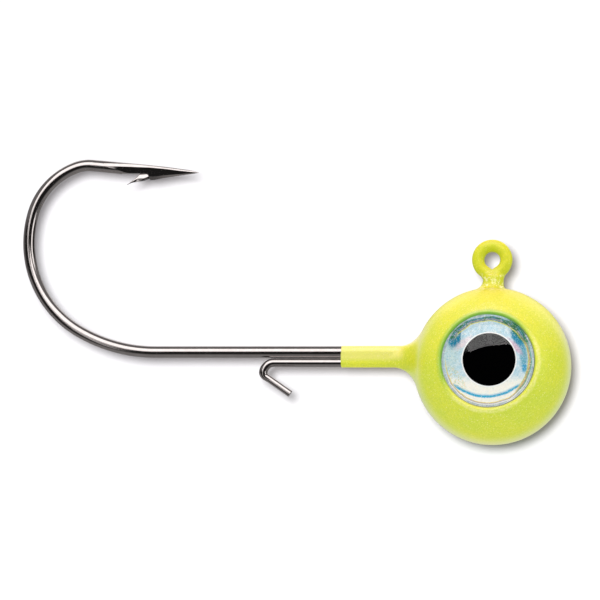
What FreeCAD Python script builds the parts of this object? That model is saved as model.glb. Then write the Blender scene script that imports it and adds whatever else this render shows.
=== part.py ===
import FreeCAD, Part
import os
import math
import Sketcher
from FreeCAD import Vector, Placement, Rotation

# Jig head with a round ball, domed eyes, a line-tie ring, a straight-shank hook
# and a folded wire bait keeper.
#
# Frame: origin at the centre of the line-tie hole. +Z is up, +X runs forward over
# the nose of the ball, the shank runs along -X, and Y is square to the plane of
# the hook, so the line-tie hole's axis is +Y. The left side is +Y. Lengths are in
# millimetres and angles in degrees.

os.makedirs("parts", exist_ok=True)
doc = FreeCAD.newDocument("jig_head")

# ---------------------------------------------------------------- dimensions
# alias, value, what it measures
DIMENSIONS = [
    # hook wire
    ("wire_radius", 0.475, "hook wire"),
    ("ring_wire_radius", 0.48, "hook wire, slightly swelled where it is bent to a ring"),
    ("ring_centre_radius", 1.125, "centreline of the line-tie ring"),
    ("stem_bend_radius", 1.5, "hidden bend from the stem to the shank"),
    ("shank_drop", 7.384, "line-tie centre down to the shank centreline"),
    ("shank_reach", 27.19, "line-tie centre back to the start of the bend"),
    ("bend_a_radius", 12.51, "first and widest arc of the bend"),
    ("bend_a_top", 5.6363, "depth below the origin where arc a ends"),
    ("bend_b_radius", 8.47, "main arc of the bend"),
    ("bend_b_top", 3.9281, "height where arc b ends"),
    ("bend_c_radius", 5.58, "upper arc of the bend"),
    ("bend_c_front", 33.9873, "distance behind the origin where arc c ends"),
    ("bend_d_radius", 3.14, "last, tight arc of the bend"),
    ("bend_d_front", 32.5817, "distance behind the origin where arc d ends"),
    # spear and barb
    ("spear_length", 8.73, "straight wire from the bend to the tip"),
    ("spear_angle", 5.59, "fall of the spear towards the shank, degrees"),
    ("keel_width", 0.46, "swaged keel under the spear, across"),
    ("grind_width", 2.0, "upper and lower grinding cuts, across"),
    ("side_grind_top", 8.6, "height where the side grinding cuts start"),
    ("side_grind_depth", 2.4, "side grinding cuts, downwards"),
    ("barb_width", 0.40, "barb sliver, across"),
    ("barb_taper_top", 7.12, "height where the cuts beside the barb start"),
    ("barb_taper_depth", 1.2, "cuts beside the barb, downwards"),
    # keeper
    ("keeper_radius", 0.35, "keeper wire"),
    ("keeper_drop", 8.24, "line-tie centre down to the keeper centreline"),
    ("keeper_anchor_back", 1.9, "anchor leg behind the line-tie centre"),
    ("keeper_anchor_foot", 10.2, "foot of the anchor leg below the line-tie centre"),
    ("keeper_anchor_bend", 0.8, "bend of the anchor leg"),
    ("keeper_reach", 17.501, "where the keeper starts to fold back"),
    ("keeper_fold_a", 0.88, "first arc of the fold"),
    ("keeper_fold_a_foot", 8.9672, "depth where the first arc ends"),
    ("keeper_fold_b", 0.5, "second, tighter arc of the fold"),
    ("keeper_fold_b_foot", 9.4656, "depth where the second arc ends"),
    ("keeper_end_back", 16.215, "free end behind the line-tie centre"),
    # ball
    ("ball_radius", 6.23, "lead ball"),
    ("ball_drop", 8.529, "line-tie centre down to the ball centre"),
    ("ball_forward", 0.05, "ball centre ahead of the line-tie centre"),
    ("coat_thickness", 0.05, "baked paint on the ball"),
    ("coat_thickness_neck", 0.04, "baked paint on the neck"),
    ("neck_radius", 0.78, "lead neck under the ring"),
    ("neck_flare", 0.45, "fillet from the neck to the ball"),
    ("neck_shoulder", 0.30, "rounded shoulder of the neck under the ring"),
    ("neck_top", 1.30, "flat top of the neck below the line-tie centre"),
    ("socket_radius", 3.75, "eye socket in the lead"),
    ("socket_floor", 4.40, "socket floor from the middle plane"),
    ("socket_lip", 0.22, "rounding of the socket's edge"),
    # lead root round the wires
    ("root_back", 9.2, "rear end of the lead root"),
    ("root_length", 5.4, "lead root, running forward into the ball"),
    ("root_over_shank", 0.01, "lead over the shank"),
    ("root_over_keeper", 0.02, "lead over the keeper"),
    ("root_fillet", 1.90, "fillet from the lead root to the ball"),
    # painted collar and ring
    ("collar_back", 12.10, "rear edge of the paint on the wires"),
    ("collar_length", 8.0, "painted collar, running forward into the ball"),
    ("collar_shank_coat", 0.025, "paint over the shank"),
    ("collar_keeper_coat", 0.045, "paint over the keeper"),
    ("collar_fillet_less", 0.02, "how much smaller the collar's fillet is than the root's"),
    ("ring_coat_radius", 0.515, "painted ring section"),
    ("ring_coat_centre", 1.12, "centreline of the painted ring"),
    ("ring_cut_width", 2.4, "cuts through the painted ring, across"),
    ("line_hole_radius", 0.625, "line-tie hole, reamed clear after painting"),
    # eye
    ("eye_radius", 3.64, "lens outer radius"),
    ("adhesive_thickness", 0.06, "adhesive pad"),
    ("adhesive_inset", 0.11, "adhesive pad's edge inside the foil's"),
    ("foil_thickness", 0.10, "holographic foil disc"),
    ("foil_radius", 3.60, "holographic foil disc"),
    ("print_thickness", 0.02, "printed layers"),
    ("pupil_radius", 1.885, "black pupil"),
    ("halo_radius", 2.03, "outer edge of the white ring round the pupil"),
    ("pupil_forward", 0.095, "pupil's centre ahead of the eye's centre"),
    ("pupil_up", 0.075, "pupil's centre above the eye's centre"),
    ("lens_wall", 0.42, "height of the lens wall above its foot"),
    ("lens_height", 1.65, "lens height at the middle"),
    ("lens_round_in", 0.32, "how far in the wall's round top reaches"),
    ("lens_round_up", 0.66, "height of the foot of the crown"),
    ("lens_shoulder", 0.45, "rounding between the lens wall and the crown"),
]


class Dimensions:
    """The sheet's values, one attribute for each alias."""


dim = Dimensions()
sheet = doc.addObject("Spreadsheet::Sheet", "dims")
sheet.set("A1", "what")
sheet.set("B1", "millimetres")
for row, (alias, value, meaning) in enumerate(DIMENSIONS, start=2):
    sheet.set("A%d" % row, meaning)
    sheet.set("B%d" % row, repr(value))
    sheet.setAlias("B%d" % row, alias)
    setattr(dim, alias, value)
doc.recompute()

# A formula is a string that adds and subtracts aliases, with spaces between the
# words, such as "ball_radius + coat_thickness".

# levels in the eye, measured outwards from the middle plane
FLOOR_LEVEL = "socket_floor + coat_thickness"
FOIL_LEVEL = FLOOR_LEVEL + " + adhesive_thickness"
PRINT_LEVEL = FOIL_LEVEL + " + foil_thickness"

# centres in the sketches of the eye, across and up
EYE_CENTRE = ("", "- ball_drop")
PUPIL_CENTRE = ("pupil_forward", "- ball_drop + pupil_up")

# the sketcher's numbers for points of a curve, the sketch's axes and its origin
START, END, CENTRE = 1, 2, 3
H_AXIS, V_AXIS = -1, -2
ORIGIN = (-1, 1)


# ---------------------------------------------------------------- formulas
def reckon(formula):
    """A formula's value, and the same formula as a sheet expression."""
    value, sign, expression = 0.0, 1, ""
    for word in formula.split():
        if word in ("+", "-"):
            sign = 1 if word == "+" else -1
            expression += word
        else:
            value += sign * getattr(dim, word)
            expression += "dims." + word
    return value, expression


def number(formula):
    return reckon(formula)[0]


# ---------------------------------------------------------------- sketches
def new_sketch(body, name, plane, **offset):
    """A sketch on an origin plane, shifted by a formula for each named axis."""
    support = [f for f in body.Origin.OriginFeatures if f.Role == plane][0]
    sketch = body.newObject("Sketcher::SketchObject", name)
    sketch.AttachmentSupport = [(support, "")]
    sketch.MapMode = "FlatFace"
    base = Vector()
    for axis, formula in offset.items():
        setattr(base, axis, number(formula))
    sketch.AttachmentOffset = Placement(base, Rotation())
    for axis, formula in offset.items():
        sketch.setExpression("AttachmentOffset.Base." + axis, reckon(formula)[1])
    return sketch


def tie(sketch, *constraints):
    """Add constraints, each given as a tuple of its kind and arguments."""
    for constraint in constraints:
        sketch.addConstraint(Sketcher.Constraint(*constraint))


def drive(sketch, name, formula, kind, *where):
    """Add a named dimension and drive it from the sheet."""
    value, expression = reckon(formula)
    index = sketch.addConstraint(Sketcher.Constraint(kind, *where, value))
    sketch.renameConstraint(index, name)
    sketch.setExpression("Constraints." + name, expression)


def outward(side, curve, point):
    """Where a distance is taken from the origin towards +1 or -1 along an axis."""
    return (*ORIGIN, curve, point) if side > 0 else (curve, point, *ORIGIN)


def add_line(sketch, start, end):
    return sketch.addGeometry(Part.LineSegment(Vector(*start, 0), Vector(*end, 0)), False)


def add_arc(sketch, centre, radius, first, last):
    """Counter-clockwise arc between two angles in radians."""
    circle = Part.Circle(Vector(*centre, 0), Vector(0, 0, 1), radius)
    return sketch.addGeometry(Part.ArcOfCircle(circle, first, last), False)


def add_circle(sketch, name, radius, across="", up=""):
    """A driven circle; an empty centre formula keeps it on the sketch's axis."""
    centre = Vector(number(across), number(up), 0)
    circle = sketch.addGeometry(Part.Circle(centre, Vector(0, 0, 1), number(radius)), False)
    drive(sketch, name, radius, "Radius", circle)
    if across:
        drive(sketch, name + "_across", across, "DistanceX", *ORIGIN, circle, CENTRE)
    else:
        tie(sketch, ("PointOnObject", circle, CENTRE, V_AXIS))
    if up:
        drive(sketch, name + "_up", up, "DistanceY", *ORIGIN, circle, CENTRE)
    else:
        tie(sketch, ("PointOnObject", circle, CENTRE, H_AXIS))


def add_polygon(sketch, points):
    """A closed outline, each corner pinned by its coordinates."""
    following = points[1:] + points[:1]
    lines = [add_line(sketch, a, b) for a, b in zip(points, following)]
    for line, after in zip(lines, lines[1:] + lines[:1]):
        tie(sketch, ("Coincident", line, END, after, START))
    for line, (x, y) in zip(lines, points):
        tie(sketch,
            ("DistanceX", *ORIGIN, line, START, x),
            ("DistanceY", *ORIGIN, line, START, y))


class BentPath:
    """Lines and arcs that run on from each other in a sketch."""

    def __init__(self, sketch, start, heading):
        self.sketch = sketch
        self.x, self.y = start
        self.heading = math.radians(heading)
        self.pieces = []  # curve, its first point, its last point

    def line(self, length):
        start = (self.x, self.y)
        self.x += length * math.cos(self.heading)
        self.y += length * math.sin(self.heading)
        curve = add_line(self.sketch, start, (self.x, self.y))
        self.pieces.append((curve, START, END))
        return curve

    def arc(self, radius, turn):
        """An arc that turns left by a positive angle or right by a negative one."""
        side = math.copysign(1.0, turn)
        turn = math.radians(turn)
        centre_x = self.x - side * radius * math.sin(self.heading)
        centre_y = self.y + side * radius * math.cos(self.heading)
        first = math.atan2(self.y - centre_y, self.x - centre_x)
        last = first + turn
        curve = add_arc(self.sketch, (centre_x, centre_y), radius,
                        min(first, last), max(first, last))
        self.pieces.append((curve, START, END) if side > 0 else (curve, END, START))
        self.x = centre_x + radius * math.cos(last)
        self.y = centre_y + radius * math.sin(last)
        self.heading += turn
        return self.pieces[-1]

    def join(self):
        """Make every piece tangent to the one before it."""
        for (curve, _, last), (after, first, _) in zip(self.pieces, self.pieces[1:]):
            tie(self.sketch, ("Tangent", curve, last, after, first))


# ---------------------------------------------------------------- features
def new_body(label):
    return doc.addObject("PartDesign::Body", label)


def add_feature(body, kind, name, **properties):
    """A feature with its properties; a property given as a string is a formula."""
    before = body.Tip.Shape.Volume if body.Tip else 0.0
    feature = body.newObject("PartDesign::" + kind, name)
    for key, value in properties.items():
        if isinstance(value, str):
            feature.setExpression(key, reckon(value)[1])
        else:
            setattr(feature, key, value)
    doc.recompute()
    if abs(feature.Shape.Volume - before) < 1e-4:
        raise RuntimeError("%s changed nothing" % name)
    return feature


def turn(body, kind, name, sketch):
    """A full turn of a sketch about its vertical axis."""
    return add_feature(body, kind, name, Profile=sketch,
                       ReferenceAxis=(sketch, ["V_Axis"]), Angle=360.0)


def sweep(body, name, section, path):
    doc.recompute()
    return add_feature(body, "AdditivePipe", name, Profile=section, Spine=path)


def profile_feature(body, kind, name, outline_name, points, **properties):
    """A pad or pocket of a polygon in the middle plane, half to each side of it."""
    sketch = new_sketch(body, outline_name, "XZ_Plane")
    add_polygon(sketch, points)
    return add_feature(body, kind, name, Profile=sketch, **properties, Midplane=True)


def side_cuts(body, name, outline_name, top, depth, points):
    """Mirrored downward cuts; the points are for the +Y side."""
    sketch = new_sketch(body, outline_name, "XY_Plane", z=top)
    for side in (-1, 1):
        add_polygon(sketch, [(x, side * y) for x, y in points])
    add_feature(body, "Pocket", name, Profile=sketch, Length=depth)


def cut(name, base, tool):
    result = doc.addObject("Part::Cut", name)
    result.Base = base
    result.Tool = tool
    doc.recompute()
    return result


# ---------------------------------------------------------------- hook
THROUGH_ALL = 1

# x, z of the V left between the ring's closing end and its stem
RING_CREVICE = [(0.0, -0.84), (0.42, -0.44), (-0.42, -0.44)]

# arcs of the bend from the shank to the spear: letter, turn to the right
BEND_TURNS = [("a", 30.65), ("b", 74.95), ("c", 53.9), ("d", 26.09)]

# Spear outlines: distance along the spear from the end of the bend, height
# square to it above its centreline.
KEEL = [(2.4, -0.30), (3.3, -0.54), (4.70, -0.745), (4.86, -0.745),
        (9.2, 0.335), (9.2, 0.35), (6.1, 0.25), (3.1, 0.1)]
UPPER_GRIND = [(4.2, 0.49), (6.0, 0.455), (7.2, 0.395), (8.05, 0.345),
               (8.70, 0.236), (9.4, -0.1), (9.6, 0.9), (4.2, 0.9)]
LOWER_GRIND = [(4.86, -0.745), (8.72, 0.216), (9.6, 0.435), (9.6, -1.2), (4.86, -1.2)]

# distance along the spear, distance from the middle plane
SIDE_GRIND = [(1.0, 0.482), (4.76, 0.41), (7.2, 0.205), (8.76, 0.012),
              (9.8, 0.010), (9.8, 0.9), (1.0, 0.9)]

# x, z of the scoop under the spear and of the lifted sliver
BARB_SCOOP = [(-30.50, 6.93), (-30.148, 7.148), (-28.10, 7.136),
              (-27.93, 6.90), (-27.82, 6.48), (-30.50, 6.38)]
BARB_SLIVER = [(-29.737, 6.212), (-28.603, 7.215), (-27.70, 7.29),
               (-27.70, 6.72), (-27.93, 6.66), (-28.51, 6.557)]

# x, distance from the middle plane, of the wedge taken off each side of the sliver
BARB_TAPER = [(-29.95, 0.02), (-29.95, 0.4), (-28.35, 0.4), (-28.35, 0.20)]


def add_line_tie_ring(body):
    section = new_sketch(body, "ring_section", "XY_Plane")
    add_circle(section, "section", "ring_wire_radius", across="ring_centre_radius")
    turn(body, "Revolution", "line_tie_ring", section)
    profile_feature(body, "Pocket", "ring_closing_crevice", "ring_crevice", RING_CREVICE,
                    Type=THROUGH_ALL)


def add_hook_wire(body):
    """Stem down from the ring, hidden bend, shank, four-arc bend and round spear.

    Returns the x and z where the bend ends and the spear starts."""
    section = new_sketch(body, "wire_section", "XY_Plane", z="- ring_centre_radius")
    add_circle(section, "section", "wire_radius")

    sketch = new_sketch(body, "wire_path", "XZ_Plane")
    path = BentPath(sketch, (0.0, -dim.ring_centre_radius), -90.0)
    stem = path.line(number("shank_drop - stem_bend_radius - ring_centre_radius"))
    elbow = path.arc(dim.stem_bend_radius, -90.0)[0]
    shank = path.line(number("shank_reach - stem_bend_radius"))
    arcs = {}
    for letter, angle in BEND_TURNS:
        radius = getattr(dim, "bend_%s_radius" % letter)
        curve, _, last = path.arc(radius, -angle)
        arcs[letter] = (curve, last)
    bend_end = (path.x, path.y)
    spear = path.line(dim.spear_length)
    path.join()
    tie(sketch,
        ("PointOnObject", stem, START, V_AXIS),
        ("Vertical", stem),
        ("Horizontal", shank))
    for alias, *where in (
        ("ring_centre_radius", "DistanceY", stem, START, *ORIGIN),
        ("stem_bend_radius", "Radius", elbow),
        ("shank_drop", "DistanceY", shank, END, *ORIGIN),
        ("shank_reach", "DistanceX", shank, END, *ORIGIN),
        ("bend_a_radius", "Radius", arcs["a"][0]),
        ("bend_b_radius", "Radius", arcs["b"][0]),
        ("bend_c_radius", "Radius", arcs["c"][0]),
        ("bend_d_radius", "Radius", arcs["d"][0]),
        ("bend_a_top", "DistanceY", *arcs["a"], *ORIGIN),
        ("bend_b_top", "DistanceY", *ORIGIN, *arcs["b"]),
        ("bend_c_front", "DistanceX", *arcs["c"], *ORIGIN),
        ("bend_d_front", "DistanceX", *arcs["d"], *ORIGIN),
        ("spear_length", "Distance", spear),
    ):
        drive(sketch, alias, alias, *where)
    sweep(body, "hook_wire", section, sketch)
    return bend_end


def shape_spear(body, bend_end):
    """Swage the end of the wire down to a keel and grind it to a point."""
    bend_x, bend_z = bend_end
    fall = math.radians(dim.spear_angle)
    run, drop = math.cos(fall), math.sin(fall)

    def on_spear(stations):
        return [(bend_x + along * run + high * drop, bend_z - along * drop + high * run)
                for along, high in stations]

    profile_feature(body, "Pad", "swaged_keel", "keel_outline", on_spear(KEEL),
                    Length="keel_width")
    profile_feature(body, "Pocket", "upper_grind", "grind_outline", on_spear(UPPER_GRIND),
                    Length="grind_width")
    profile_feature(body, "Pocket", "lower_grind", "under_grind_outline",
                    on_spear(LOWER_GRIND), Length="grind_width")
    # flats on both sides that nearly meet at the tip
    side_cuts(body, "side_grind", "side_grind_outline", "side_grind_top",
              "side_grind_depth", [(bend_x + along * run, y) for along, y in SIDE_GRIND])


def add_barb(body):
    """Scoop under the spear, then the lifted sliver, narrowed towards its point."""
    profile_feature(body, "Pocket", "barb_cut", "barb_scoop", BARB_SCOOP, Type=THROUGH_ALL)
    profile_feature(body, "Pad", "barb_sliver", "barb_outline", BARB_SLIVER,
                    Length="barb_width")
    side_cuts(body, "barb_taper", "barb_sides", "barb_taper_top", "barb_taper_depth",
              BARB_TAPER)


def build_hook():
    body = new_body("hook")
    add_line_tie_ring(body)
    bend_end = add_hook_wire(body)
    shape_spear(body, bend_end)
    add_barb(body)
    return body


# ---------------------------------------------------------------- keeper wire
KEEPER_FOLD_TURNS = (80.0, 65.4)


def build_keeper():
    """Anchor leg up inside the ball, a run back under the shank, and a folded end."""
    body = new_body("keeper_wire")
    section = new_sketch(body, "keeper_section", "XY_Plane", z="- keeper_anchor_foot")
    add_circle(section, "section", "keeper_radius", across="- keeper_anchor_back")

    sketch = new_sketch(body, "keeper_path", "XZ_Plane")
    path = BentPath(sketch, (-dim.keeper_anchor_back, -dim.keeper_anchor_foot), 90.0)
    anchor = path.line(number("keeper_anchor_foot - keeper_drop - keeper_anchor_bend"))
    anchor_bend = path.arc(dim.keeper_anchor_bend, 90.0)[0]
    straight = path.line(number("keeper_reach - keeper_anchor_back - keeper_anchor_bend"))
    fold_a, _, fold_a_end = path.arc(dim.keeper_fold_a, KEEPER_FOLD_TURNS[0])
    fold_b, _, fold_b_end = path.arc(dim.keeper_fold_b, KEEPER_FOLD_TURNS[1])
    tail = path.line((-dim.keeper_end_back - path.x) / math.cos(path.heading))
    path.join()
    tie(sketch, ("Vertical", anchor), ("Horizontal", straight))
    for alias, *where in (
        ("keeper_anchor_back", "DistanceX", anchor, START, *ORIGIN),
        ("keeper_anchor_foot", "DistanceY", anchor, START, *ORIGIN),
        ("keeper_anchor_bend", "Radius", anchor_bend),
        ("keeper_drop", "DistanceY", straight, END, *ORIGIN),
        ("keeper_reach", "DistanceX", straight, END, *ORIGIN),
        ("keeper_fold_a", "Radius", fold_a),
        ("keeper_fold_b", "Radius", fold_b),
        ("keeper_fold_a_foot", "DistanceY", fold_a, fold_a_end, *ORIGIN),
        ("keeper_fold_b_foot", "DistanceY", fold_b, fold_b_end, *ORIGIN),
        ("keeper_end_back", "DistanceX", tail, END, *ORIGIN),
    ):
        drive(sketch, alias, alias, *where)
    sweep(body, "keeper_bent_wire", section, sketch)
    return body


# ---------------------------------------------------------------- ball shapes
def ball_formula(painted):
    return "ball_radius + coat_thickness" if painted else "ball_radius"


def add_ball(body, tag, painted):
    """The ball with its neck, turned about the vertical through its centre."""
    thicker = " + coat_thickness_neck" if painted else ""
    thinner = " - coat_thickness_neck" if painted else ""
    ball = ball_formula(painted)
    neck = "neck_radius" + thicker
    flare = "neck_flare" + thinner
    shoulder = "neck_shoulder" + thicker
    top = "neck_top" + thinner

    ball_r, neck_r, flare_r, shoulder_r = map(number, (ball, neck, flare, shoulder))
    ball_z = -dim.ball_drop
    top_z = -number(top)
    shoulder_x, shoulder_z = neck_r - shoulder_r, top_z - shoulder_r
    flare_x = neck_r + flare_r
    flare_z = ball_z + math.sqrt((ball_r + flare_r) ** 2 - flare_x ** 2)
    # direction from the ball's centre to the flare's, through where they touch
    lean = math.atan2(flare_z - ball_z, flare_x)

    sketch = new_sketch(body, tag + "_outline", "XZ_Plane", x="ball_forward")
    ball_arc = add_arc(sketch, (0, ball_z), ball_r, -math.pi / 2, lean)
    flare_arc = add_arc(sketch, (flare_x, flare_z), flare_r, math.pi, math.pi + lean)
    neck_line = add_line(sketch, (neck_r, flare_z), (neck_r, shoulder_z))
    shoulder_arc = add_arc(sketch, (shoulder_x, shoulder_z), shoulder_r, 0.0, math.pi / 2)
    top_line = add_line(sketch, (shoulder_x, top_z), (0, top_z))
    axis = add_line(sketch, (0, top_z), (0, ball_z - ball_r))
    tie(sketch,
        ("PointOnObject", ball_arc, CENTRE, V_AXIS),
        ("PointOnObject", ball_arc, START, V_AXIS),
        ("Tangent", ball_arc, END, flare_arc, END),
        ("Tangent", flare_arc, START, neck_line, START),
        ("Tangent", neck_line, END, shoulder_arc, START),
        ("Tangent", shoulder_arc, END, top_line, START),
        ("Vertical", neck_line),
        ("Coincident", top_line, END, axis, START),
        ("Coincident", axis, END, ball_arc, START),
        ("PointOnObject", axis, START, V_AXIS))
    drive(sketch, "ball", ball, "Radius", ball_arc)
    drive(sketch, "drop", "ball_drop", "DistanceY", ball_arc, CENTRE, *ORIGIN)
    drive(sketch, "flare", flare, "Radius", flare_arc)
    drive(sketch, "neck", neck, "DistanceX", *ORIGIN, neck_line, START)
    drive(sketch, "shoulder", shoulder, "Radius", shoulder_arc)
    drive(sketch, "top", top, "DistanceY", axis, START, *ORIGIN)
    turn(body, "Revolution", tag + "_turned", sketch)


def root_edges(shape, ball_r):
    """Names of the edges where the root meets the back of the ball."""
    centre = Vector(dim.ball_forward, 0, -dim.ball_drop)
    names = []
    for index, edge in enumerate(shape.Edges, start=1):
        if edge.Length < 1e-6:
            continue
        points = edge.discretize(7)
        on_ball = all(abs((p - centre).Length - ball_r) < 0.02 for p in points)
        near_root = all(p.x < -4.5 and abs(p.y) < 1.2 and -9.6 < p.z < -5.9 for p in points)
        if on_ball and near_root:
            names.append("Edge%d" % index)
    return names


def add_root(body, name, section_name, fillet_name, back, length, shank, keeper, fillet, ball):
    """A sleeve round the shank and the keeper wire, filleted into the ball.

    Its section is the hull of a circle round each wire."""
    shank_r, keeper_r = number(shank), number(keeper)
    shank_z, keeper_z = -dim.shank_drop, -dim.keeper_drop
    lean = math.asin((keeper_r - shank_r) / (shank_z - keeper_z))
    upper = (shank_r * math.cos(lean), shank_z + shank_r * math.sin(lean))
    lower = (keeper_r * math.cos(lean), keeper_z + keeper_r * math.sin(lean))

    sketch = new_sketch(body, section_name, "YZ_Plane", z="- " + back)
    top_arc = add_arc(sketch, (0, shank_z), shank_r, lean, math.pi - lean)
    left = add_line(sketch, (-upper[0], upper[1]), (-lower[0], lower[1]))
    low_arc = add_arc(sketch, (0, keeper_z), keeper_r, math.pi - lean, 2 * math.pi + lean)
    right = add_line(sketch, lower, upper)
    tie(sketch,
        ("Tangent", top_arc, END, left, START),
        ("Tangent", left, END, low_arc, START),
        ("Tangent", low_arc, END, right, START),
        ("Tangent", right, END, top_arc, START),
        ("PointOnObject", top_arc, CENTRE, V_AXIS),
        ("PointOnObject", low_arc, CENTRE, V_AXIS))
    drive(sketch, "over_shank", shank, "Radius", top_arc)
    drive(sketch, "under_keeper", keeper, "Radius", low_arc)
    drive(sketch, "shank_drop", "shank_drop", "DistanceY", top_arc, CENTRE, *ORIGIN)
    drive(sketch, "keeper_drop", "keeper_drop", "DistanceY", low_arc, CENTRE, *ORIGIN)
    root = add_feature(body, "Pad", name, Profile=sketch, Length=length)
    edges = root_edges(root.Shape, number(ball))
    add_feature(body, "Fillet", fillet_name, Base=(root, edges), Radius=fillet)


def cut_eye_sockets(body, tag, painted):
    """Both eye sockets as one groove turned about the Y axis through the ball."""
    radius = "socket_radius - coat_thickness" if painted else "socket_radius"
    floor = FLOOR_LEVEL if painted else "socket_floor"
    ball_r, wall_x, floor_y = number(ball_formula(painted)), number(radius), number(floor)
    lip = dim.socket_lip
    # the lip's circle touches the wall and the inside of the ball
    lip_x = wall_x + lip
    lip_y = math.sqrt((ball_r - lip) ** 2 - lip_x ** 2)
    touch_x = ball_r * lip_x / (ball_r - lip)
    touch_y = ball_r * lip_y / (ball_r - lip)
    touch_angle = math.atan2(lip_y, lip_x)
    clear_y = ball_r + 1.0  # outside the ball

    sketch = new_sketch(body, tag + "_sockets", "XY_Plane", x="ball_forward", z="- ball_drop")
    for side_name, side in (("right", -1), ("left", 1)):
        bottom = add_line(sketch, (0, side * floor_y), (wall_x, side * floor_y))
        wall = add_line(sketch, (wall_x, side * floor_y), (wall_x, side * lip_y))
        if side > 0:
            first, last = touch_angle, math.pi
            at_wall, at_ball = END, START
        else:
            first, last = -math.pi, -touch_angle
            at_wall, at_ball = START, END
        edge = add_arc(sketch, (lip_x, side * lip_y), lip, first, last)
        rise = add_line(sketch, (touch_x, side * touch_y), (touch_x, side * clear_y))
        lid = add_line(sketch, (touch_x, side * clear_y), (0, side * clear_y))
        axis = add_line(sketch, (0, side * clear_y), (0, side * floor_y))
        tie(sketch,
            ("Horizontal", bottom),
            ("Coincident", bottom, END, wall, START),
            ("Vertical", wall),
            ("Tangent", wall, END, edge, at_wall),
            ("Coincident", edge, at_ball, rise, START),
            ("Vertical", rise),
            ("Coincident", rise, END, lid, START),
            ("Horizontal", lid),
            ("Coincident", lid, END, axis, START),
            ("Coincident", axis, END, bottom, START),
            ("PointOnObject", axis, START, V_AXIS),
            ("PointOnObject", axis, END, V_AXIS))
        drive(sketch, side_name + "_radius", radius, "DistanceX", *ORIGIN, bottom, END)
        drive(sketch, side_name + "_floor", floor, "DistanceY", *outward(side, bottom, START))
        drive(sketch, side_name + "_lip", "socket_lip", "Radius", edge)
        tie(sketch,
            ("DistanceY", *outward(side, edge, CENTRE), lip_y),
            ("DistanceY", *outward(side, lid, START), clear_y),
            ("DistanceY", *outward(side, edge, at_ball), touch_y))
    doc.recompute()
    turn(body, "Groove", tag + "_eye_sockets", sketch)


# ---------------------------------------------------------------- lead head
def build_lead_head(hook, keeper):
    """The cast ball with its root, less the two wires."""
    body = new_body("ball_casting")
    add_ball(body, "lead", painted=False)
    add_root(body, "lead_root", "lead_root_section", "lead_root_fillet",
             back="root_back", length="root_length",
             shank="wire_radius + root_over_shank",
             keeper="keeper_radius + root_over_keeper",
             fillet="root_fillet", ball=ball_formula(painted=False))
    cut_eye_sockets(body, "lead", painted=False)
    return cut("lead_head", cut("casting_less_hook", body, hook), keeper)


# ---------------------------------------------------------------- powder coat
# x, z of the crevice in the painted ring
PAINTED_CREVICE = [(0.0, -0.795), (0.42, -0.42), (-0.42, -0.42)]


def build_powder_coat(lead_head, hook, keeper):
    """The painted outside of the head, ring and collar, less all that it covers."""
    body = new_body("painted_outside")
    add_ball(body, "skin", painted=True)

    section = new_sketch(body, "painted_ring_section", "XY_Plane")
    add_circle(section, "section", "ring_coat_radius", across="ring_coat_centre")
    turn(body, "Revolution", "painted_ring", section)

    add_root(body, "painted_collar", "collar_section", "collar_fillet",
             back="collar_back", length="collar_length",
             shank="wire_radius + collar_shank_coat",
             keeper="keeper_radius + collar_keeper_coat",
             fillet="root_fillet - collar_fillet_less", ball=ball_formula(painted=True))
    cut_eye_sockets(body, "skin", painted=True)
    profile_feature(body, "Pocket", "painted_crevice", "painted_crevice_outline",
                    PAINTED_CREVICE, Length="ring_cut_width")

    outline = new_sketch(body, "line_hole_outline", "XZ_Plane")
    add_circle(outline, "hole", "line_hole_radius")
    add_feature(body, "Pocket", "line_hole", Profile=outline, Length="ring_cut_width",
                Midplane=True)

    coat = cut("skin_less_casting", body, lead_head)
    coat = cut("skin_less_hook", coat, hook)
    return cut("powder_coat", coat, keeper)


# ---------------------------------------------------------------- eyes
def eye_sketch(body, name, side, level):
    """A sketch square to Y at a level; the XZ plane's own normal is -Y."""
    offset = "- " + level.replace("+", "-") if side > 0 else level
    return new_sketch(body, name, "XZ_Plane", x="ball_forward", z=offset)


def build_disc(label, side, level, thickness, radius, centre, hole=""):
    """A flat disc, or a ring if it has a hole, that grows outwards from its level."""
    body = new_body(label)
    sketch = eye_sketch(body, label + "_outline", side, level)
    add_circle(sketch, "outer", radius, *centre)
    if hole:
        add_circle(sketch, "inner", hole, *centre)
    add_feature(body, "Pad", label + "_disc", Profile=sketch, Length=thickness,
                Reversed=side > 0)
    return body


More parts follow.
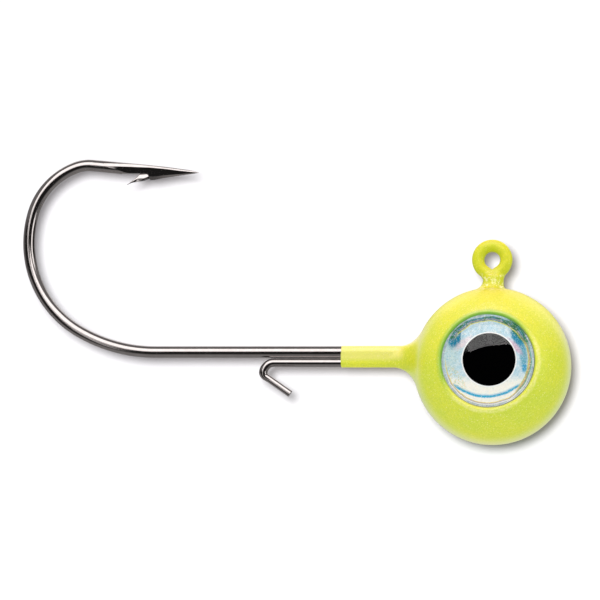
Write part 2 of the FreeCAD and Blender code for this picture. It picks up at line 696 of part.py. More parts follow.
def build_lens(label, side):
    """Domed clear lens, turned about Y, with a shallow recess over the print."""
    body = new_body(label)
    foot_y = number(PRINT_LEVEL)
    radius, shoulder_r = dim.eye_radius, dim.lens_shoulder
    crown_x = number("eye_radius - lens_round_in")

    def at(x, height):
        return (x, side * (foot_y + height))

    def arc_between(centre, arc_radius, outer, inner):
        """Arc that leads round the dome from its outer to its inner point."""
        first, last = (outer, inner) if side > 0 else (inner, outer)
        first_angle = math.atan2(first[1] - centre[1], first[0] - centre[0])
        last_angle = math.atan2(last[1] - centre[1], last[0] - centre[0])
        if last_angle <= first_angle:
            last_angle += 2 * math.pi
        return add_arc(sketch, centre, arc_radius, first_angle, last_angle)

    sketch = new_sketch(body, label + "_profile", "XY_Plane", x="ball_forward", z="- ball_drop")
    wall_top, crown_foot = at(radius, dim.lens_wall), at(crown_x, dim.lens_round_up)
    base = add_line(sketch, at(0, 0), at(radius, 0))
    wall = add_line(sketch, at(radius, 0), wall_top)
    # the crown passes through its foot and the top, and is centred on the axis
    rise = number("lens_height - lens_round_up")
    crown_r = (crown_x ** 2 + rise ** 2) / (2 * rise)
    crown = arc_between(at(0, dim.lens_height - crown_r), crown_r,
                        crown_foot, at(0, dim.lens_height))
    # the shoulder's centre lies inside the lens, square to the middle of its chord
    dx, dy = crown_foot[0] - wall_top[0], crown_foot[1] - wall_top[1]
    chord = math.hypot(dx, dy)
    inset = math.sqrt(shoulder_r ** 2 - (chord / 2) ** 2) / chord
    centre = ((wall_top[0] + crown_foot[0]) / 2 - side * dy * inset,
              (wall_top[1] + crown_foot[1]) / 2 + side * dx * inset)
    shoulder = arc_between(centre, shoulder_r, wall_top, crown_foot)
    axis = add_line(sketch, at(0, dim.lens_height), at(0, 0))

    outer, inner = (START, END) if side > 0 else (END, START)
    tie(sketch,
        ("Coincident", base, END, wall, START),
        ("Coincident", wall, END, shoulder, outer),
        ("Coincident", shoulder, inner, crown, outer),
        ("Coincident", crown, inner, axis, START),
        ("Coincident", axis, END, base, START),
        ("Vertical", axis),
        ("PointOnObject", axis, END, V_AXIS),
        ("Horizontal", base),
        ("Vertical", wall),
        ("PointOnObject", crown, CENTRE, V_AXIS))
    drive(sketch, "foot", PRINT_LEVEL, "DistanceY", *outward(side, base, END))
    drive(sketch, "radius", "eye_radius", "DistanceX", *ORIGIN, base, END)
    for name, alias, curve, point in (
        ("wall", "lens_wall", wall, END),
        ("height", "lens_height", axis, START),
        ("crown_foot", "lens_round_up", shoulder, inner),
    ):
        drive(sketch, name, PRINT_LEVEL + " + " + alias, "DistanceY",
              *outward(side, curve, point))
    drive(sketch, "crown_radius", "eye_radius - lens_round_in", "DistanceX",
          *ORIGIN, shoulder, inner)
    drive(sketch, "shoulder", "lens_shoulder", "Radius", shoulder)
    turn(body, "Revolution", label + "_dome", sketch)

    # recess that clears the printed pupil and its white ring
    outline = eye_sketch(body, label + "_recess_outline", side, PRINT_LEVEL)
    add_circle(outline, "recess", "halo_radius", *PUPIL_CENTRE)
    add_feature(body, "Pocket", label + "_recess", Profile=outline,
                Length="print_thickness", Reversed=side < 0)
    return body


# layer, level, thickness, radius, centre, hole
EYE_DISCS = [
    ("adhesive", FLOOR_LEVEL, "adhesive_thickness", "foil_radius - adhesive_inset",
     EYE_CENTRE, ""),
    ("foil", FOIL_LEVEL, "foil_thickness", "foil_radius", EYE_CENTRE, ""),
    ("halo", PRINT_LEVEL, "print_thickness", "halo_radius", PUPIL_CENTRE, "pupil_radius"),
    ("pupil", PRINT_LEVEL, "print_thickness", "pupil_radius", PUPIL_CENTRE, ""),
]


def build_eye(side_name, side):
    prefix = side_name + "_eye_"
    discs = [build_disc(prefix + layer, side, *sizes) for layer, *sizes in EYE_DISCS]
    return discs + [build_lens(prefix + "lens", side)]


# ---------------------------------------------------------------- build and export
hook = build_hook()
keeper = build_keeper()
lead_head = build_lead_head(hook, keeper)
powder_coat = build_powder_coat(lead_head, hook, keeper)
pieces = [hook, lead_head, keeper, powder_coat]
pieces += build_eye("right", -1) + build_eye("left", 1)

for obj in doc.Objects:
    if "Invalid" in obj.State or "Error" in obj.State:
        raise RuntimeError("%s is %s" % (obj.Label, obj.State))
for piece in pieces:
    shape = piece.Shape
    if shape.isNull() or not shape.isValid():
        raise RuntimeError("%s has no valid shape" % piece.Label)
    if len(shape.Solids) != 1:
        raise RuntimeError("%s has %d solids" % (piece.Label, len(shape.Solids)))
for piece in pieces:
    piece.Shape.exportStep("parts/%s.step" % piece.Label)
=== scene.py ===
"""A fishing jig: a bent hook with a painted ball head, two dome eyes and a wire keeper.

Hook and keeper are bent in the XZ plane. The line-tie ring is round the origin, the ball hangs
below it, the shank runs towards -X and the point comes back above it towards +X. The eyes look
along -Y (right) and +Y (left). The camera looks along +Y. Sizes are in millimetres until a
mesh, lamp or camera is made.
"""
import math

import bmesh
import bpy
import numpy as np
from mathutils import Matrix, Vector


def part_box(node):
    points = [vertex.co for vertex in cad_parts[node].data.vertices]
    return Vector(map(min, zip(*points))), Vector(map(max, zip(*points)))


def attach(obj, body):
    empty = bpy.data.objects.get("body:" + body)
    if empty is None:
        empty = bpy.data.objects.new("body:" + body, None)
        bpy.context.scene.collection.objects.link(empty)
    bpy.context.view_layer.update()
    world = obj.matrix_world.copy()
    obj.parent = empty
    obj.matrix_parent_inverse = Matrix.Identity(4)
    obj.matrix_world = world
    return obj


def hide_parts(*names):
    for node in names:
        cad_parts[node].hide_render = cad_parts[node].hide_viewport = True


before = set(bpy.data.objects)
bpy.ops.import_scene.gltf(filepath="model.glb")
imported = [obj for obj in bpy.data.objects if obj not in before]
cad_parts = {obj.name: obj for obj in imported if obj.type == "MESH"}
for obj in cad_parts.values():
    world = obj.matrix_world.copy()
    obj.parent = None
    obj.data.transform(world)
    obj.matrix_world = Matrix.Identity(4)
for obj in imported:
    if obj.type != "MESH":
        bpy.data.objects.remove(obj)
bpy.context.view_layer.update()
MM = 0.001


# ---------------------------------------------------------------- places shared by the pieces
def box_mm(node):
    low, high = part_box(node)
    return np.array(low) / MM, np.array(high) / MM


COAT_LOW, COAT_HIGH = box_mm("powder_coat")
LENS_LOW, LENS_HIGH = box_mm("left_eye_lens")
FOIL_LOW, FOIL_HIGH = box_mm("left_eye_foil")
PUPIL_LOW, PUPIL_HIGH = box_mm("left_eye_pupil")
HALO_LOW, HALO_HIGH = box_mm("left_eye_halo")
BALL_X = round((FOIL_LOW[0] + FOIL_HIGH[0]) / 2, 3)
BALL_Z = round((FOIL_LOW[2] + FOIL_HIGH[2]) / 2, 3)
BALL_R = BALL_Z - COAT_LOW[2]
COLLAR_X = COAT_LOW[0]
WIRE_R = 0.475
SHANK_Z = -7.384
SHANK_END_X = -27.19
KEEPER_R = box_mm("keeper_wire")[1][1]
KEEPER_Z = -8.24

# camera position and axes
CAMERA = np.array([21.5828, -297.4946, -35.7524])
FORWARD = np.array([-0.122879, 0.986528, 0.107999])
RIGHT = np.array([0.992420, 0.122336, 0.011662])
UP = np.array([0.001707, -0.108614, 0.994083])


# ---------------------------------------------------------------- mesh helpers
def outward(verts, faces):
    """Turns the faces of a closed mesh to look outward."""
    v = np.asarray(verts, float)
    t = np.array([(f[0], f[i], f[i + 1]) for f in faces for i in range(1, len(f) - 1)])
    volume = np.einsum("ij,ij->i", v[t[:, 0]], np.cross(v[t[:, 1]], v[t[:, 2]])).sum()
    return faces if volume > 0 else [tuple(f)[::-1] for f in faces]


def link_object(name, mesh):
    ob = bpy.data.objects.new(name, mesh)
    bpy.context.scene.collection.objects.link(ob)
    return ob


def raw_object(name, verts, faces):
    mesh = bpy.data.meshes.new(name)
    faces = outward(verts, faces)
    places = (np.asarray(verts, float) * MM).tolist()
    mesh.from_pydata(places, [], [list(map(int, f)) for f in faces])
    mesh.validate()
    mesh.update()
    return link_object(name, mesh)


def finish_object(ob, material, sharp_deg, node, slot):
    """Smooth shading with sharp edges above an angle, the material, and the CAD node it replaces."""
    mesh = ob.data
    mesh.polygons.foreach_set("use_smooth", [True] * len(mesh.polygons))
    bm = bmesh.new()
    bm.from_mesh(mesh)
    for edge in bm.edges:
        if len(edge.link_faces) == 2 and edge.calc_face_angle(0.0) > math.radians(sharp_deg):
            edge.smooth = False
    bm.to_mesh(mesh)
    bm.free()
    mesh.materials.clear()
    mesh.materials.append(material)
    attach(ob, "root")
    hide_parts(node)


def combine(ob, other, operation):
    """Adds another closed mesh to ob, or takes it away, and keeps the resulting mesh."""
    modifier = ob.modifiers.new("combine", "BOOLEAN")
    modifier.operation = operation
    modifier.solver = "EXACT"
    modifier.object = other
    bpy.context.view_layer.update()
    depsgraph = bpy.context.evaluated_depsgraph_get()
    mesh = bpy.data.meshes.new_from_object(ob.evaluated_get(depsgraph))
    ob.modifiers.clear()
    ob.data = mesh
    bpy.data.objects.remove(other)


def loft(rings):
    """Closed mesh through rings of the same number of points."""
    n = len(rings[0])
    verts = [p for ring in rings for p in ring]
    last = (len(rings) - 1) * n
    faces = [tuple(range(n)), tuple(range(last, last + n))[::-1]]
    for i in range(len(rings) - 1):
        for j in range(n):
            k = (j + 1) % n
            faces.append((i * n + j, (i + 1) * n + j, (i + 1) * n + k, i * n + k))
    return verts, faces


def bridge(near, far, sign=1):
    """Faces between two rings of vertex numbers; either ring may be a single vertex."""
    faces = []
    n = max(len(near), len(far))
    for j in range(n):
        k = (j + 1) % n
        if len(near) == 1:
            face = (near[0], far[k], far[j])
        elif len(far) == 1:
            face = (near[j], near[k], far[0])
        else:
            face = (near[j], near[k], far[k], far[j])
        faces.append(face if sign > 0 else face[::-1])
    return faces


class Path:
    """A plane curve in the XZ plane made of lines and arcs, sampled as it grows."""

    def __init__(self, start, heading_deg):
        self.point = np.array(start, float)
        self.heading = math.radians(heading_deg)
        self.points = [self.point.copy()]
        self.headings = [self.heading]

    def line(self, length, step):
        n = max(1, int(math.ceil(length / step)))
        along = np.array([math.cos(self.heading), math.sin(self.heading)])
        for i in range(1, n + 1):
            self.points.append(self.point + along * length * i / n)
            self.headings.append(self.heading)
        self.point = self.point + along * length

    def arc(self, radius, turn_deg, step_deg):
        """Positive turn is anticlockwise seen from -Y."""
        turn = math.radians(turn_deg)
        reach = (1.0 if turn > 0 else -1.0) * radius
        start = self.heading
        centre = self.point + reach * np.array([-math.sin(start), math.cos(start)])
        n = max(2, int(math.ceil(abs(turn_deg) / step_deg)))
        for i in range(1, n + 1):
            h = start + turn * i / n
            self.points.append(centre + reach * np.array([math.sin(h), -math.cos(h)]))
            self.headings.append(h)
        self.heading = start + turn
        self.point = self.points[-1].copy()


def sweep(path, section, segs, start_rings, end_rings):
    """Closed mesh along a path.

    section(index, point, angles) gives the offsets left of the heading and along Y. Each end
    closes over rings, given as (scale, advance), that shrink to a middle vertex.
    """
    angles = np.linspace(0, 2 * math.pi, segs, endpoint=False)
    body = []
    for i, (point, heading) in enumerate(zip(path.points, path.headings)):
        left, side = section(i, point, angles)
        x = point[0] - math.sin(heading) * left
        z = point[1] + math.cos(heading) * left
        body.append(np.c_[x, side, z])
    parts = list(body)
    faces = []
    for i in range(len(body) - 1):
        faces += bridge(range(i * segs, (i + 1) * segs), range((i + 1) * segs, (i + 2) * segs))
    base = len(body) * segs
    last = len(body) - 1
    for end, rings, sign in ((0, start_rings, -1), (last, end_rings, 1)):
        centre = body[end].mean(0)
        heading = path.headings[end]
        out = np.array([math.cos(heading), 0, math.sin(heading)]) * sign
        previous = range(end * segs, (end + 1) * segs)
        for scale, advance in rings:
            parts.append(centre + (body[end] - centre) * scale + out * advance)
            current = range(base, base + segs)
            faces += bridge(previous, current, sign)
            previous = current
            base += segs
        parts.append((centre + out * rings[-1][1])[None, :])
        faces += bridge(previous, [base], sign)
        base += 1
    return np.concatenate(parts), faces


def lathe(profile, centre_x, centre_z, sign, segs):
    """Turns (radius, |y|) pairs round an axis along Y; first and last radius may be 0."""
    verts, faces, rings = [], [], []
    for radius, y in profile:
        count = 1 if radius < 1e-6 else segs
        rings.append(range(len(verts), len(verts) + count))
        if count == 1:
            verts.append((centre_x, sign * y, centre_z))
            continue
        for j in range(segs):
            a = 2 * math.pi * j / segs
            x = centre_x + radius * math.cos(a)
            verts.append((x, sign * y, centre_z + radius * math.sin(a)))
    for near, far in zip(rings[:-1], rings[1:]):
        faces += bridge(near, far, sign)
    return np.array(verts), faces


def surface(distance, low, high, cell, level=0.0, block=8):
    """Mesh where distance equals level: surface nets, each vertex then moved on to the surface.

    Only blocks of cells near the surface are filled in; the rest take their middle's sign.
    """
    low, high = np.array(low, float), np.array(high, float)
    blocks = np.ceil((high - low) / (cell * block)).astype(int)
    size = blocks * block + 1
    middles = [low[a] + (np.arange(blocks[a]) + 0.5) * cell * block for a in range(3)]
    coarse = distance(*np.meshgrid(*middles, indexing="ij")) - level
    # half the diagonal of a block, with a margin
    near = np.abs(coarse) < 0.87 * block * cell * 1.35
    signs = np.where(coarse < 0, -1.0, 1.0).astype(np.float32)
    for axis in range(3):
        signs = np.repeat(signs, block, axis)
    field = np.ones(size, np.float32)
    field[:-1, :-1, :-1] = signs
    starts = np.argwhere(near) * block
    steps = np.meshgrid(*[np.arange(block + 1)] * 3, indexing="ij")
    for s in range(0, len(starts), 1500):
        batch = starts[s:s + 1500]
        index = [batch[:, a, None, None, None] + steps[a] for a in range(3)]
        field[tuple(index)] = distance(*(low[a] + index[a] * cell for a in range(3))) - level

    # one vertex in every cell the surface passes through
    inside = field < 0
    count = np.zeros(size - 1, np.int8)
    corners = [np.array(c) for c in np.ndindex(2, 2, 2)]
    for corner in corners:
        count += inside[tuple(slice(c, n - 1 + c) for c, n in zip(corner, size))]
    active = np.argwhere((count > 0) & (count < 8))
    number = np.full(count.shape, -1, np.int32)
    number[tuple(active.T)] = np.arange(len(active))
    values = np.stack([field[tuple((active + c).T)] for c in corners], 1).astype(float)
    total = np.zeros((len(active), 3))
    crossings = np.zeros(len(active))
    for p, first in enumerate(corners):
        for q, second in enumerate(corners):
            if p < q and np.abs(first - second).sum() == 1:
                here, there = values[:, p], values[:, q]
                cut = (here < 0) != (there < 0)
                t = np.where(cut, here / np.where(cut, here - there, 1.0), 0.0)
                total += (first + t[:, None] * (second - first)) * cut[:, None]
                crossings += cut
    verts = low + (active + total / crossings[:, None]) * cell

    # one quad round every grid edge the surface crosses
    quads = []
    for axis in range(3):
        here = [slice(1, n - 1) for n in size]
        there = list(here)
        here[axis] = slice(0, size[axis] - 1)
        there[axis] = slice(1, size[axis])
        start_in, end_in = inside[tuple(here)], inside[tuple(there)]
        edges = np.argwhere(start_in != end_in)
        leaving = start_in[tuple(edges.T)]
        one, two = (axis + 1) % 3, (axis + 2) % 3
        edges[:, one] += 1
        edges[:, two] += 1
        around = []
        for back_one, back_two in ((1, 1), (0, 1), (0, 0), (1, 0)):
            cells = edges.copy()
            cells[:, one] -= back_one
            cells[:, two] -= back_two
            around.append(number[tuple(cells.T)])
        quad = np.stack(around, 1)
        quad[~leaving] = quad[~leaving][:, ::-1]
        quads.append(quad)
    quads = np.concatenate(quads)
    quads = quads[(quads >= 0).all(1)]

    probe = 1e-3
    for _ in range(4):
        error = distance(*verts.T) - level
        slopes = [distance(*(verts + step).T) - distance(*(verts - step).T)
                  for step in np.eye(3) * probe]
        slope = np.stack(slopes, 1) / (2 * probe)
        steepness = np.maximum((slope * slope).sum(1), 0.05)
        verts = verts - np.clip(error / steepness, -0.5 * cell, 0.5 * cell)[:, None] * slope
    return verts, quads


# ---------------------------------------------------------------- node helpers
class Value:
    """An output of a shader node; arithmetic on it adds Math nodes."""

    def __init__(self, graph, socket):
        self.graph = graph
        self.socket = socket

    def __add__(self, other):
        return self.graph.math("ADD", self, other)

    def __radd__(self, other):
        return self.graph.math("ADD", other, self)

    def __sub__(self, other):
        return self.graph.math("SUBTRACT", self, other)

    def __rsub__(self, other):
        return self.graph.math("SUBTRACT", other, self)

    def __mul__(self, other):
        return self.graph.math("MULTIPLY", self, other)

    def __truediv__(self, other):
        return self.graph.math("DIVIDE", self, other)

    def __abs__(self):
        return self.graph.math("ABSOLUTE", self)

    def maximum(self, other):
        return self.graph.math("MAXIMUM", self, other)

    def ramp(self, start, end, low=0.0, high=1.0, kind="SMOOTHSTEP"):
        """low where the value is at start, high where it is at end; start may exceed end."""
        inputs = {"Value": self, "From Min": start, "From Max": end, "To Min": low, "To Max": high}
        return self.graph.value("ShaderNodeMapRange", inputs, "Result",
                                interpolation_type=kind, clamp=True)

    def fall(self, start, end):
        """1 below start, 0 above end."""
        return self.ramp(start, end, low=1.0, high=0.0)

    def band(self, start, end, soft):
        """1 between start and end, 0 outside, over edges of half width soft."""
        return self.ramp(start - soft, start + soft) * self.fall(end - soft, end + soft)

    def mix(self, amount, colour):
        return self.graph.mix(amount, self, colour)

    def tint(self, colour):
        return self.graph.mix(1.0, self, colour, "MULTIPLY")


class Graph:
    """The node tree of a material or world, emptied and given an output."""

    def __init__(self, owner, output="ShaderNodeOutputMaterial"):
        owner.use_nodes = True
        self.owner = owner
        self.tree = owner.node_tree
        self.tree.nodes.clear()
        self.out = self.tree.nodes.new(output)

    def put(self, socket, value):
        """Links a value to an input, or sets the input to a constant."""
        value = getattr(value, "socket", value)
        if isinstance(value, bpy.types.NodeSocket):
            self.tree.links.new(value, socket)
        elif isinstance(value, tuple) and len(value) == 3 and socket.type == "RGBA":
            socket.default_value = (*value, 1.0)
        else:
            socket.default_value = value

    def node(self, kind, inputs=None, **settings):
        made = self.tree.nodes.new(kind)
        for key, setting in settings.items():
            setattr(made, key, setting)
        for key, value in (inputs or {}).items():
            self.put(made.inputs[key], value)
        return made

    def value(self, kind, inputs=None, output=0, **settings):
        return Value(self, self.node(kind, inputs, **settings).outputs[output])

    def math(self, operation, *operands):
        return self.value("ShaderNodeMath", dict(enumerate(operands)), operation=operation)

    def dot(self, vector, axis):
        return self.value("ShaderNodeVectorMath", {0: vector, 1: tuple(axis)}, "Value",
                          operation="DOT_PRODUCT")

    def scaled(self, vector, factor):
        return self.value("ShaderNodeVectorMath", {0: vector, "Scale": factor}, "Vector",
                          operation="SCALE")

    def radius(self, a, b):
        return self.math("SQRT", a * a + b * b)

    def mix(self, amount, first, second, blend="MIX"):
        return self.value("ShaderNodeMix", {0: amount, 6: first, 7: second}, 2,
                          data_type="RGBA", blend_type=blend, clamp_factor=True)

    def noise(self, place, scale, detail=2.0, rough=0.5):
        inputs = {"Vector": place, "Scale": scale, "Detail": detail, "Roughness": rough}
        return self.value("ShaderNodeTexNoise", inputs, "Fac", noise_dimensions="3D")

    def parts(self, vector, kind="ShaderNodeSeparateXYZ"):
        return [Value(self, socket) for socket in self.node(kind, {0: vector}).outputs]

    def specks(self, place, scale):
        """Distance from the middle of a speck, and its three random numbers."""
        made = self.node("ShaderNodeTexVoronoi", {"Vector": place, "Scale": scale},
                         voronoi_dimensions="3D")
        randoms = self.parts(made.outputs["Color"], "ShaderNodeSeparateColor")
        return Value(self, made.outputs["Distance"]), randoms

    def place(self):
        """Object coordinates in millimetres."""
        return self.scaled(self.value("ShaderNodeTexCoord", output="Object"), 1000.0)

    def from_eye(self, x, z):
        """Offsets from the eyes' axis along X and Z."""
        return x - BALL_X, z - BALL_Z

    def bump(self, height, strength, distance_mm):
        inputs = {"Strength": strength, "Distance": distance_mm * MM, "Height": height}
        return self.value("ShaderNodeBump", inputs, "Normal")

    def combine(self, channels):
        return self.value("ShaderNodeCombineColor", dict(enumerate(channels)))

    def mix_shader(self, amount, first, second):
        return self.value("ShaderNodeMixShader", {0: amount, 1: first, 2: second})

    def finish(self, shader):
        self.put(self.out.inputs["Surface"], shader)
        return self.owner

    def principled(self, colour, roughness, normal, **others):
        """Ends the material; other inputs are named with underscores for spaces."""
        inputs = {"Base Color": colour, "Roughness": roughness, "Normal": normal}
        inputs.update({key.replace("_", " "): value for key, value in others.items()})
        return self.finish(self.value("ShaderNodeBsdfPrincipled", inputs))


def material_graph(name):
    return Graph(bpy.data.materials.new(name))


# ---------------------------------------------------------------- materials
def paint_material():
    graph = material_graph("chartreuse_powder_paint")
    place = graph.place()
    x, y, z = graph.parts(place)
    grain = graph.noise(place, scale=5.2, detail=3.0, rough=0.6)
    fine = graph.noise(place, scale=11.0, rough=0.6)
    broad = graph.noise(place, scale=0.55)
    # pearl flecks of the powder: their glints are painted in as pale bright specks
    distance, randoms = graph.specks(place, scale=6.5)
    fleck_glint = distance.fall(0.10, 0.32) * randoms[0].ramp(0.66, 0.80)
    base = graph.mix(broad.ramp(0.3, 0.7), (0.665, 0.765, 0.020), (0.735, 0.780, 0.014))
    base = base.mix(grain.ramp(0.33, 0.67, high=0.55), (0.560, 0.680, 0.010))
    base = base.mix(fine.ramp(0.54, 0.70, high=0.62), (0.93, 0.91, 0.20))
    base = base.mix(fleck_glint * 0.72, (1.0, 0.98, 0.52))
    # painted shade: the walls of the eye sockets that face down and away from the light are painted
    # deep green
    across, above = graph.from_eye(x, z)
    radius = graph.radius(across, above)
    wobble = graph.noise(place, scale=1.3)
    edge = radius + (wobble - 0.5) * 0.18
    wall = edge.ramp(4.16, 3.74, kind="LINEAR") * abs(y).ramp(4.0, 4.2)
    side = (across * -0.55 + above * 0.83) / radius
    deep = wall * side.ramp(-0.25, 0.45)
    base = base.mix(deep * 0.92, (0.16, 0.47, 0.030))
    # painted highlight: the crest of the lip on the other side, where it catches the light, is
    # painted pale
    lip = edge.ramp(3.78, 3.95) * edge.ramp(4.22, 4.02) * side.ramp(0.15, -0.35)
    base = base.mix(lip * grain.ramp(0.35, 0.60, low=0.15, high=0.70), (0.97, 0.93, 0.30))
    # painted reflection of the white ground at a glancing angle: the rim pales towards the outline,
    # low on the head
    facing = graph.value("ShaderNodeLayerWeight", {"Blend": 0.5}, "Facing")
    rim = facing.ramp(0.52, 0.94, high=0.62) * z.ramp(-4.6, -6.4)
    base = base.mix(rim, (0.90, 0.95, 0.62))
    # thicker paint on the line tie is a little deeper in colour
    base = base.mix(z.ramp(-4.4, -2.2, high=0.70), base.tint((0.92, 0.85, 0.20)))
    # and on its neck the coarse powder grain is painted as bright glints
    neck_glint_zone = z.ramp(-3.0, -2.3) * z.ramp(-0.9, -1.5) * abs(x).ramp(1.5, 0.8)
    glint = graph.noise(place, scale=4.2, detail=3.0, rough=0.7)
    base = base.mix(neck_glint_zone * glint.ramp(0.52, 0.60, high=0.75), (0.98, 0.97, 0.42))
    # painted shade: darker, deeper colour in the crease where the collar runs into the ball
    root_shade = x.ramp(-7.5, -6.9) * x.ramp(-5.6, -6.2) * abs(z + 7.9).ramp(1.3, 0.7)
    base = base.mix(root_shade * 0.8, base.tint((0.90, 0.90, 0.30)))
    # painted highlight and shade: the collar is pale on its upper half, where the light falls, and
    # deeper below
    collar = x.ramp(-6.7, -7.5)
    base = base.mix(collar * z.ramp(-8.30, -7.80, high=0.42), (0.96, 0.83, 0.27))
    base = base.mix(collar * z.ramp(-8.00, -8.35), base.tint((1.04, 1.0, 0.55)))
    return graph.principled(
        base, grain.ramp(0.3, 0.7, low=0.30, high=0.42),
        graph.bump(grain * 0.65 + fine * 0.35, strength=0.55, distance_mm=0.03),
        IOR=1.5, Specular_Tint=(1.0, 0.80, 0.95),
        Specular_IOR_Level=z.ramp(-4.4, -2.2, low=0.95, high=0.50))


def nickel_material(name):
    graph = material_graph(name)
    place = graph.place()
    fine = graph.noise(place, scale=26.0, rough=0.6)
    blot = graph.noise(place, scale=2.4, detail=3.0, rough=0.6)
    base = graph.mix(blot.ramp(0.3, 0.7), (0.405, 0.375, 0.365), (0.450, 0.420, 0.412))
    base = base.mix(fine.ramp(0.60, 0.80, high=0.35), (0.31, 0.28, 0.27))
    normal = graph.bump(fine * 0.5 + blot * 0.5, strength=0.35, distance_mm=0.006)
    rough = blot.ramp(0.3, 0.7, low=0.085, high=0.125)
    return graph.principled(base, rough, normal, Metallic=1.0)


def lead_material():
    graph = material_graph("cast_lead")
    place = graph.place()
    cast = graph.noise(place, scale=3.0, detail=4.0, rough=0.6)
    fine = graph.noise(place, scale=14.0)
    base = graph.mix(cast.ramp(0.35, 0.65), (0.24, 0.245, 0.26), (0.36, 0.365, 0.385))
    normal = graph.bump(cast, strength=0.4, distance_mm=0.08)
    rough = fine.ramp(0.3, 0.7, low=0.45, high=0.62)
    return graph.principled(base, rough, normal, Metallic=0.85)


def adhesive_material():
    graph = material_graph("clear_adhesive")
    cloud = graph.noise(graph.place(), scale=2.2, detail=3.0, rough=0.6)
    base = graph.mix(cloud, (0.70, 0.72, 0.70), (0.86, 0.87, 0.84))
    normal = graph.bump(cloud, strength=0.3, distance_mm=0.04)
    return graph.principled(base, cloud.ramp(0.3, 0.7, low=0.35, high=0.6), normal)


# soft ellipses of colour on the foil: centre from the eye's axis along X and Z, half length,
# half width, turn in radians, softness, strength (None: full), colour
FOIL_PATCHES = (
    # painted reflection of the green paint of the head: green and teal in the upper sectors
    (-2.25, 2.38, 0.95, 0.32, 0.76, 0.25, None, (0.008, 0.18, 0.03)),
    (2.20, 1.60, 0.85, 0.34, -0.95, 0.35, None, (0.02, 0.28, 0.45)),
    (2.30, 2.16, 1.15, 0.34, -0.88, 0.25, None, (0.008, 0.20, 0.04)),
    # blue on the +X side
    (2.66, 0.25, 0.30, 0.95, 0.06, 0.50, 0.85, (0.08, 0.38, 0.52)),
    (2.72, -0.55, 0.20, 0.30, 0.10, 0.35, 0.90, (0.03, 0.36, 0.60)),
    # pink flecks
    (-1.75, 1.30, 0.75, 0.26, 0.60, 0.50, 0.65, (0.90, 0.68, 0.70)),
    (1.98, 1.05, 0.72, 0.20, -0.80, 0.50, 0.75, (0.74, 0.42, 0.56)),
)


